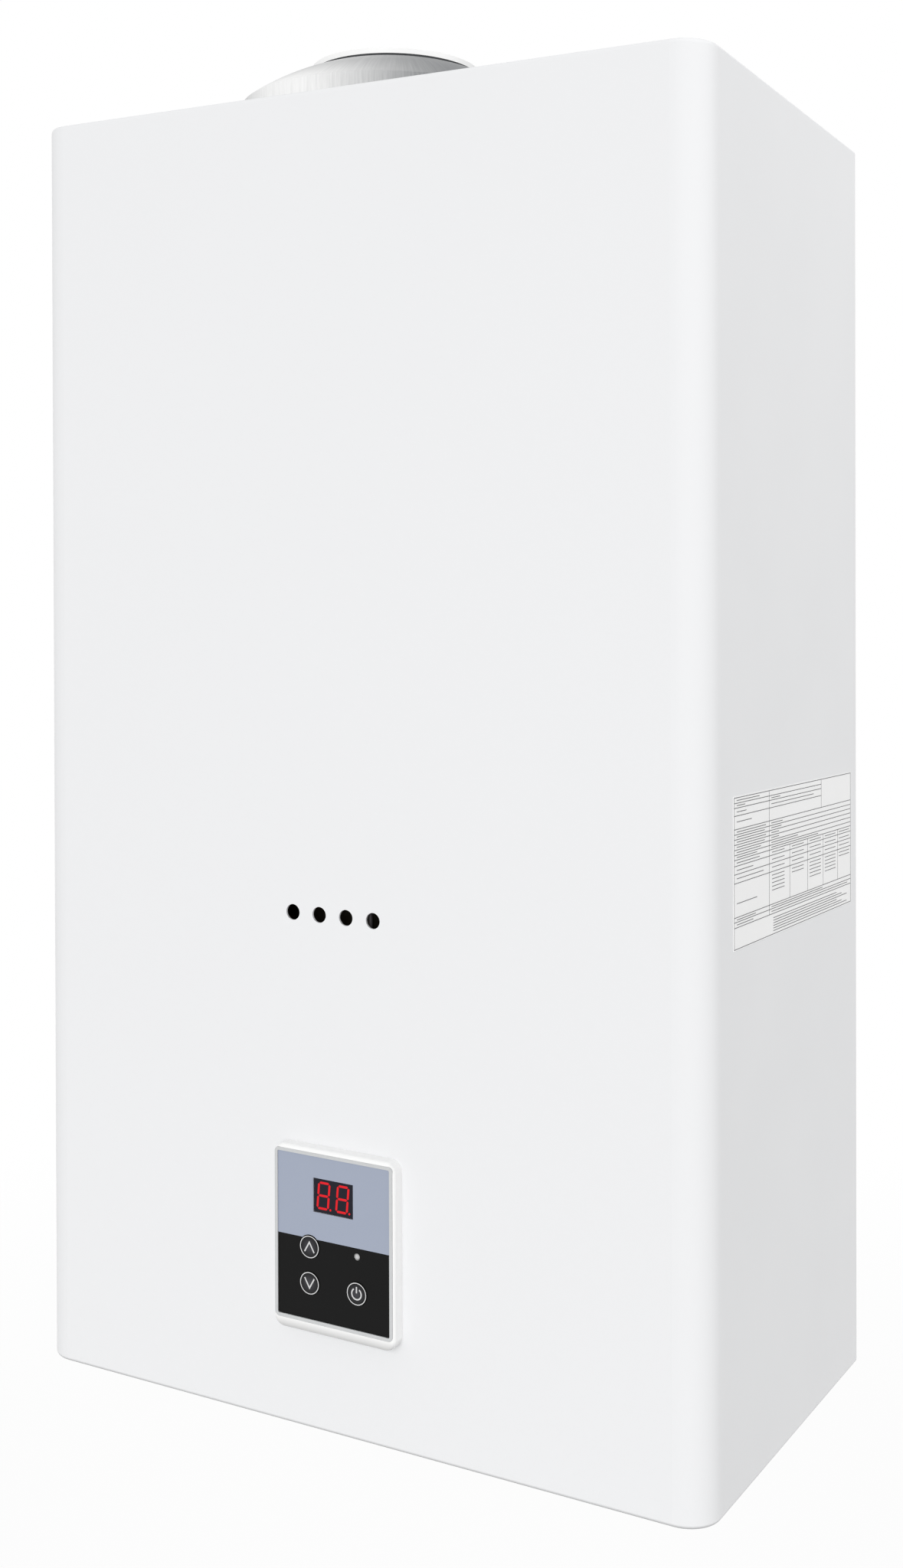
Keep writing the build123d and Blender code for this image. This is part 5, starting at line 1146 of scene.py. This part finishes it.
def draw_collar(bm, sizes, tall):
    """Section of the collar as one closed line: seat, foot, dome, lip and socket."""
    wall, ball, foot, hole = sizes.collar_wall, sizes.dome_radius, sizes.foot_radius, sizes.seat_hole
    tube, rim = sizes.socket_radius + wall, foot + 3 * wall
    shoulder, bottom = tall - sizes.lip_rise, tall - sizes.socket_length
    soft = wall * 0.4
    socket = [
        (tube, tall - soft), (tube - soft, tall), (tube - wall + soft, tall), (tube - wall, tall - soft),
        (tube - wall, bottom), (tube, bottom),
    ]
    seat = [
        (foot - wall, wall), (hole, wall), (hole, 0.0), (rim, 0.0), (rim, wall - soft), (rim - soft, wall),
        (foot + wall, wall), (foot + soft, wall + soft), (foot, wall * 2),
    ]
    outer = swing_dome(bm, ball, foot, tube, shoulder)
    inner = swing_dome(bm, ball - wall, foot - wall, tube, shoulder - wall)
    for chain, start, end in ((socket, outer[1], inner[1]), (seat, inner[0], outer[0])):
        made = [start] + [bm.verts.new((r, 0.0, z)) for r, z in chain] + [end]
        for pair in zip(made, made[1:]):
            bm.edges.new(pair)


def swing_dome(bm, ball, outside, inside, top):
    """Arc of the dome between two radii, with its first and last points."""
    steep, flat = math.asin(outside / ball), math.asin(inside / ball)
    centre = top - ball * math.cos(flat)
    first = bm.verts.new((outside, 0.0, centre + ball * math.cos(steep)))
    made = bmesh.ops.spin(
        bm, geom=[first], cent=(0, 0, centre), axis=(0, 1, 0), angle=flat - steep, steps=14,
        use_duplicate=False,
    )
    return first, made["geom_last"][0]


# Pipe connections

COLD_STUB_INSET = 17.0 * MM
THREAD_GAP = 0.05 * MM
THREAD_STEPS = 60


class HEATER_OT_connections(bpy.types.Operator):
    """Pipe connections with their half-inch threads"""

    bl_idname = "heater.connections"
    bl_label = "Pipe Connections"

    def execute(self, context):
        sizes = context.scene.heater_sizes
        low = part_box("gas_inlet_fitting")[0].z
        high = low + sizes.stub_length - THREAD_GAP
        for name in ("hot_outlet_fitting", "gas_inlet_fitting", "cold_inlet_fitting"):
            place = middle_of(name)
            if name == "cold_inlet_fitting":
                place.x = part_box(name)[0].x + COLD_STUB_INSET
            bm = node_copy(name)
            merge(bm)
            bmesh.ops.bridge_loops(bm, edges=cut_off(bm, high, -1))
            add_thread(bm, sizes, place, low, high)
            piece = make_piece(name + "_threaded", bm, finish_of(brass_finish, context), "chassis")
            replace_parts(piece, name)
        return {"FINISHED"}


def cut_off(bm, level, way):
    """Cut away what lies above or below a level, and give the edges of the cut."""
    everything = bm.verts[:] + bm.edges[:] + bm.faces[:]
    cut = bmesh.ops.bisect_plane(
        bm, geom=everything, plane_co=(0, 0, level), plane_no=(0, 0, way), clear_outer=True
    )
    return picked(cut["geom_cut"], bmesh.types.BMEdge)


def add_thread(bm, sizes, place, low, high):
    """Screw thread with a bore, cut square at both ends."""
    crest, pitch = sizes.stub_radius, sizes.thread_pitch
    root = crest - sizes.thread_depth
    tooth = ((root, 0.0), (root, 0.12), (crest, 0.44), (crest, 0.56), (root, 0.88))
    profile = [
        (place.x + radius, place.y, low + (turn - 1.5 + share) * pitch)
        for turn in range(int((high - low) / pitch) + 3) for radius, share in tooth
    ]
    screw = bmesh.new()
    spun(screw, profile, (place.x, place.y, 0.0), (0, 0, 1), math.tau, THREAD_STEPS, pitch)
    merge(screw)
    cut_off(screw, low, -1)
    cut_off(screw, high, 1)
    wall = bmesh.ops.create_circle(screw, segments=THREAD_STEPS, radius=sizes.stub_bore)["verts"]
    bmesh.ops.translate(screw, vec=(place.x, place.y, low), verts=wall)
    ring = [e for e in screw.edges if all(v in wall for v in e.verts)]
    grown = bmesh.ops.extrude_edge_only(screw, edges=ring)["geom"]
    bmesh.ops.translate(screw, vec=(0, 0, high - low), verts=picked(grown, bmesh.types.BMVert))
    for level in (low, high):
        rims = [e for e in screw.edges if e.is_boundary and all(abs(v.co.z - level) < NEAR for v in e.verts)]
        bmesh.ops.bridge_loops(screw, edges=rims)
    bmesh.ops.recalc_face_normals(screw, faces=screw.faces)
    add_into(bm, screw)


# Fasteners

# Radius of the head, radius of the shank and thickness of the head
COVER_SCREW = (3.5 * MM, 2.0 * MM, 1.5 * MM)
MANIFOLD_SCREW = (3.0 * MM, 1.5 * MM, 1.5 * MM)
HEAD_SHAPE = ((1.0, 0.0), (1.0, 0.45), (0.93, 0.8), (0.76, 1.0))
HEAD_TURNS = {
    "upper": Matrix.Identity(4),
    "lower": Matrix.Rotation(math.pi, 4, "X"),
    "front": Matrix.Rotation(QUARTER_TURN, 4, "X"),
}
CROSS_ARM, CROSS_HALF, CROSS_DEPTH, CROSS_TAPER = 0.5, 0.11, 0.7, 0.6
ROUND_SIDES = 36
NUT_CHAMFER = 0.14
NUT_TURN = math.radians(30)


class HEATER_OT_fasteners(bpy.types.Operator):
    """Cross-headed screws and chamfered lock nuts"""

    bl_idname = "heater.fasteners"
    bl_label = "Fasteners"

    def execute(self, context):
        sizes = context.scene.heater_sizes
        steel, brass = finish_of(steel_finish, context), finish_of(brass_finish, context)
        bm = bmesh.new()
        for low, high in solid_boxes("cover_screws"):
            add_screw(bm, low, high, "lower" if high.z < MID_LEVEL else "upper", *COVER_SCREW)
        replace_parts(make_piece("cover_screw_heads", bm, steel, "cover"), "cover_screws")
        bm = bmesh.new()
        for low, high in solid_boxes("manifold_screws"):
            add_screw(bm, low, high, "front", *MANIFOLD_SCREW)
        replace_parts(make_piece("manifold_screw_heads", bm, steel, "chassis"), "manifold_screws")
        bm = bmesh.new()
        for low, high in solid_boxes("lock_nuts"):
            add_nut(bm, low, high, sizes.nut_flats, sizes.nut_bore)
        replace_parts(make_piece("lock_nuts_chamfered", bm, brass, "chassis"), "lock_nuts")
        return {"FINISHED"}


def solid_boxes(name):
    """Boxes of the separate solids in a node."""
    bm = node_copy(name)
    merge(bm)
    boxes, left = [], set(bm.verts)
    while left:
        island, edge = set(), [left.pop()]
        while edge:
            vert = edge.pop()
            island.add(vert)
            near = {e.other_vert(vert) for e in vert.link_edges} & left
            left -= near
            edge += near
        places = [v.co for v in island]
        boxes.append((Vector(map(min, *places)), Vector(map(max, *places))))
    bm.free()
    return boxes


def add_screw(bm, low, high, side, head, shank, thick):
    """Pan head with a cross recess on a plain shank, its head towards one side."""
    span, seat = high - low, (low + high) / 2
    if side == "front":
        seat.y, reach = low.y + thick, span.y - thick
    elif side == "lower":
        seat.z, reach = low.z + thick, span.z - thick
    else:
        seat.z, reach = high.z - thick, span.z - thick
    part = bmesh.new()
    profile = [(0, 0, -reach), (shank, 0, -reach), (shank, 0, 0)]
    profile += [(head * wide, 0, thick * tall) for wide, tall in HEAD_SHAPE]
    spun(part, profile, (0, 0, 0), (0, 0, 1), math.tau, ROUND_SIDES)
    merge(part, FINE)
    recess(part, head, thick)
    bmesh.ops.recalc_face_normals(part, faces=part.faces)
    bmesh.ops.transform(part, matrix=Matrix.Translation(seat) @ HEAD_TURNS[side], verts=part.verts)
    add_into(bm, part)


def recess(part, head, thick):
    """Cross-shaped recess in the open top of a screw head."""
    arm, half = head * CROSS_ARM, head * CROSS_HALF
    cross = [(arm, -half), (arm, half), (half, half)]
    for _ in range(3):
        cross += [(-y, x) for x, y in cross[-3:]]
    rim = [e for e in part.edges if e.is_boundary]
    made = [part.verts.new((x, y, thick)) for x, y in cross]
    loop = [part.edges.new(pair) for pair in zip(made, made[1:] + made[:1])]
    bmesh.ops.bridge_loops(part, edges=rim + loop)
    floor = part.faces.new(made)
    grown = bmesh.ops.extrude_face_region(part, geom=[floor])["geom"]
    deep = picked(grown, bmesh.types.BMVert)
    bmesh.ops.translate(part, vec=(0, 0, -thick * CROSS_DEPTH), verts=deep)
    bmesh.ops.scale(part, vec=(CROSS_TAPER, CROSS_TAPER, 1.0), verts=deep)
    bmesh.ops.delete(part, geom=[floor], context="FACES_ONLY")


def add_nut(bm, low, high, flats, bore):
    """Hexagon nut with both corners chamfered round."""
    part = bmesh.new()
    middle, thick = (low + high) / 2, high.z - low.z
    corner, edge, face = flats / math.sqrt(3), thick * NUT_CHAMFER, flats / 2
    rings = []
    for radius, level, sides in (
        (bore, 0.0, ROUND_SIDES), (face, 0.0, ROUND_SIDES), (corner, edge, 6), (corner, thick - edge, 6),
        (face, thick, ROUND_SIDES), (bore, thick, ROUND_SIDES),
    ):
        made = bmesh.ops.create_circle(part, segments=sides, radius=radius)["verts"]
        bmesh.ops.rotate(part, matrix=Matrix.Rotation(NUT_TURN, 3, "Z"), verts=made)
        bmesh.ops.translate(part, vec=(0, 0, level), verts=made)
        rings.append({e for v in made for e in v.link_edges})
    for first, second in zip(rings, rings[1:] + rings[:1]):
        bmesh.ops.bridge_loops(part, edges=list(first | second))
    bmesh.ops.recalc_face_normals(part, faces=part.faces)
    bmesh.ops.translate(part, vec=(middle.x, middle.y, low.z), verts=part.verts)
    add_into(bm, part)


# Valve spring

class HEATER_OT_spring(bpy.types.Operator):
    """Closing spring of the gas valve, merged into a piece with its own mesh"""

    bl_idname = "heater.spring"
    bl_label = "Valve Spring"

    def execute(self, context):
        middle = middle_of("plunger_spring")
        bm = node_copy("plunger_spring")
        settle(bm)
        steel = finish_of(steel_finish, context)
        spring = make_piece("plunger_spring_wound", bm, steel, "chassis")
        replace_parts(spring, "plunger_spring")
        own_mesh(spring)
        return {"FINISHED"}


# Panel and registration

class HEATER_PT_panel(bpy.types.Panel):
    """Buttons and values for the heater"""

    bl_idname = "HEATER_PT_panel"
    bl_label = "Water Heater"
    bl_space_type = "VIEW_3D"
    bl_region_type = "UI"
    bl_category = "Heater"

    def draw(self, context):
        for operator in OPERATORS:
            self.layout.operator(operator.bl_idname)
        for key, kind in PROPERTIES.items():
            box = self.layout.box()
            for name in kind.__annotations__:
                box.prop(getattr(context.scene, key), name)


OPERATORS = [
    HEATER_OT_stage, HEATER_OT_finishes, HEATER_OT_figures, HEATER_OT_button_marks, HEATER_OT_label_rules,
    HEATER_OT_collar, HEATER_OT_connections, HEATER_OT_fasteners, HEATER_OT_spring,
]
PROPERTIES = {"heater_colours": HeaterColours, "heater_sizes": HeaterSizes, "heater_stage": HeaterStage}


def register():
    for made in (*PROPERTIES.values(), *OPERATORS, HEATER_PT_panel):
        bpy.utils.register_class(made)
    for name, group in PROPERTIES.items():
        setattr(bpy.types.Scene, name, PointerProperty(type=group))


def unregister():
    for name in PROPERTIES:
        delattr(bpy.types.Scene, name)
    for made in reversed((*PROPERTIES.values(), *OPERATORS, HEATER_PT_panel)):
        bpy.utils.unregister_class(made)


def main():
    register()
    bpy.ops.heater.stage()
    bpy.ops.heater.finishes()
    bpy.ops.heater.figures()
    bpy.ops.heater.button_marks()
    bpy.ops.heater.label_rules()
    bpy.ops.heater.collar()
    bpy.ops.heater.connections()
    bpy.ops.heater.fasteners()
    bpy.ops.heater.spring()


if __name__ == "__main__":
    main()
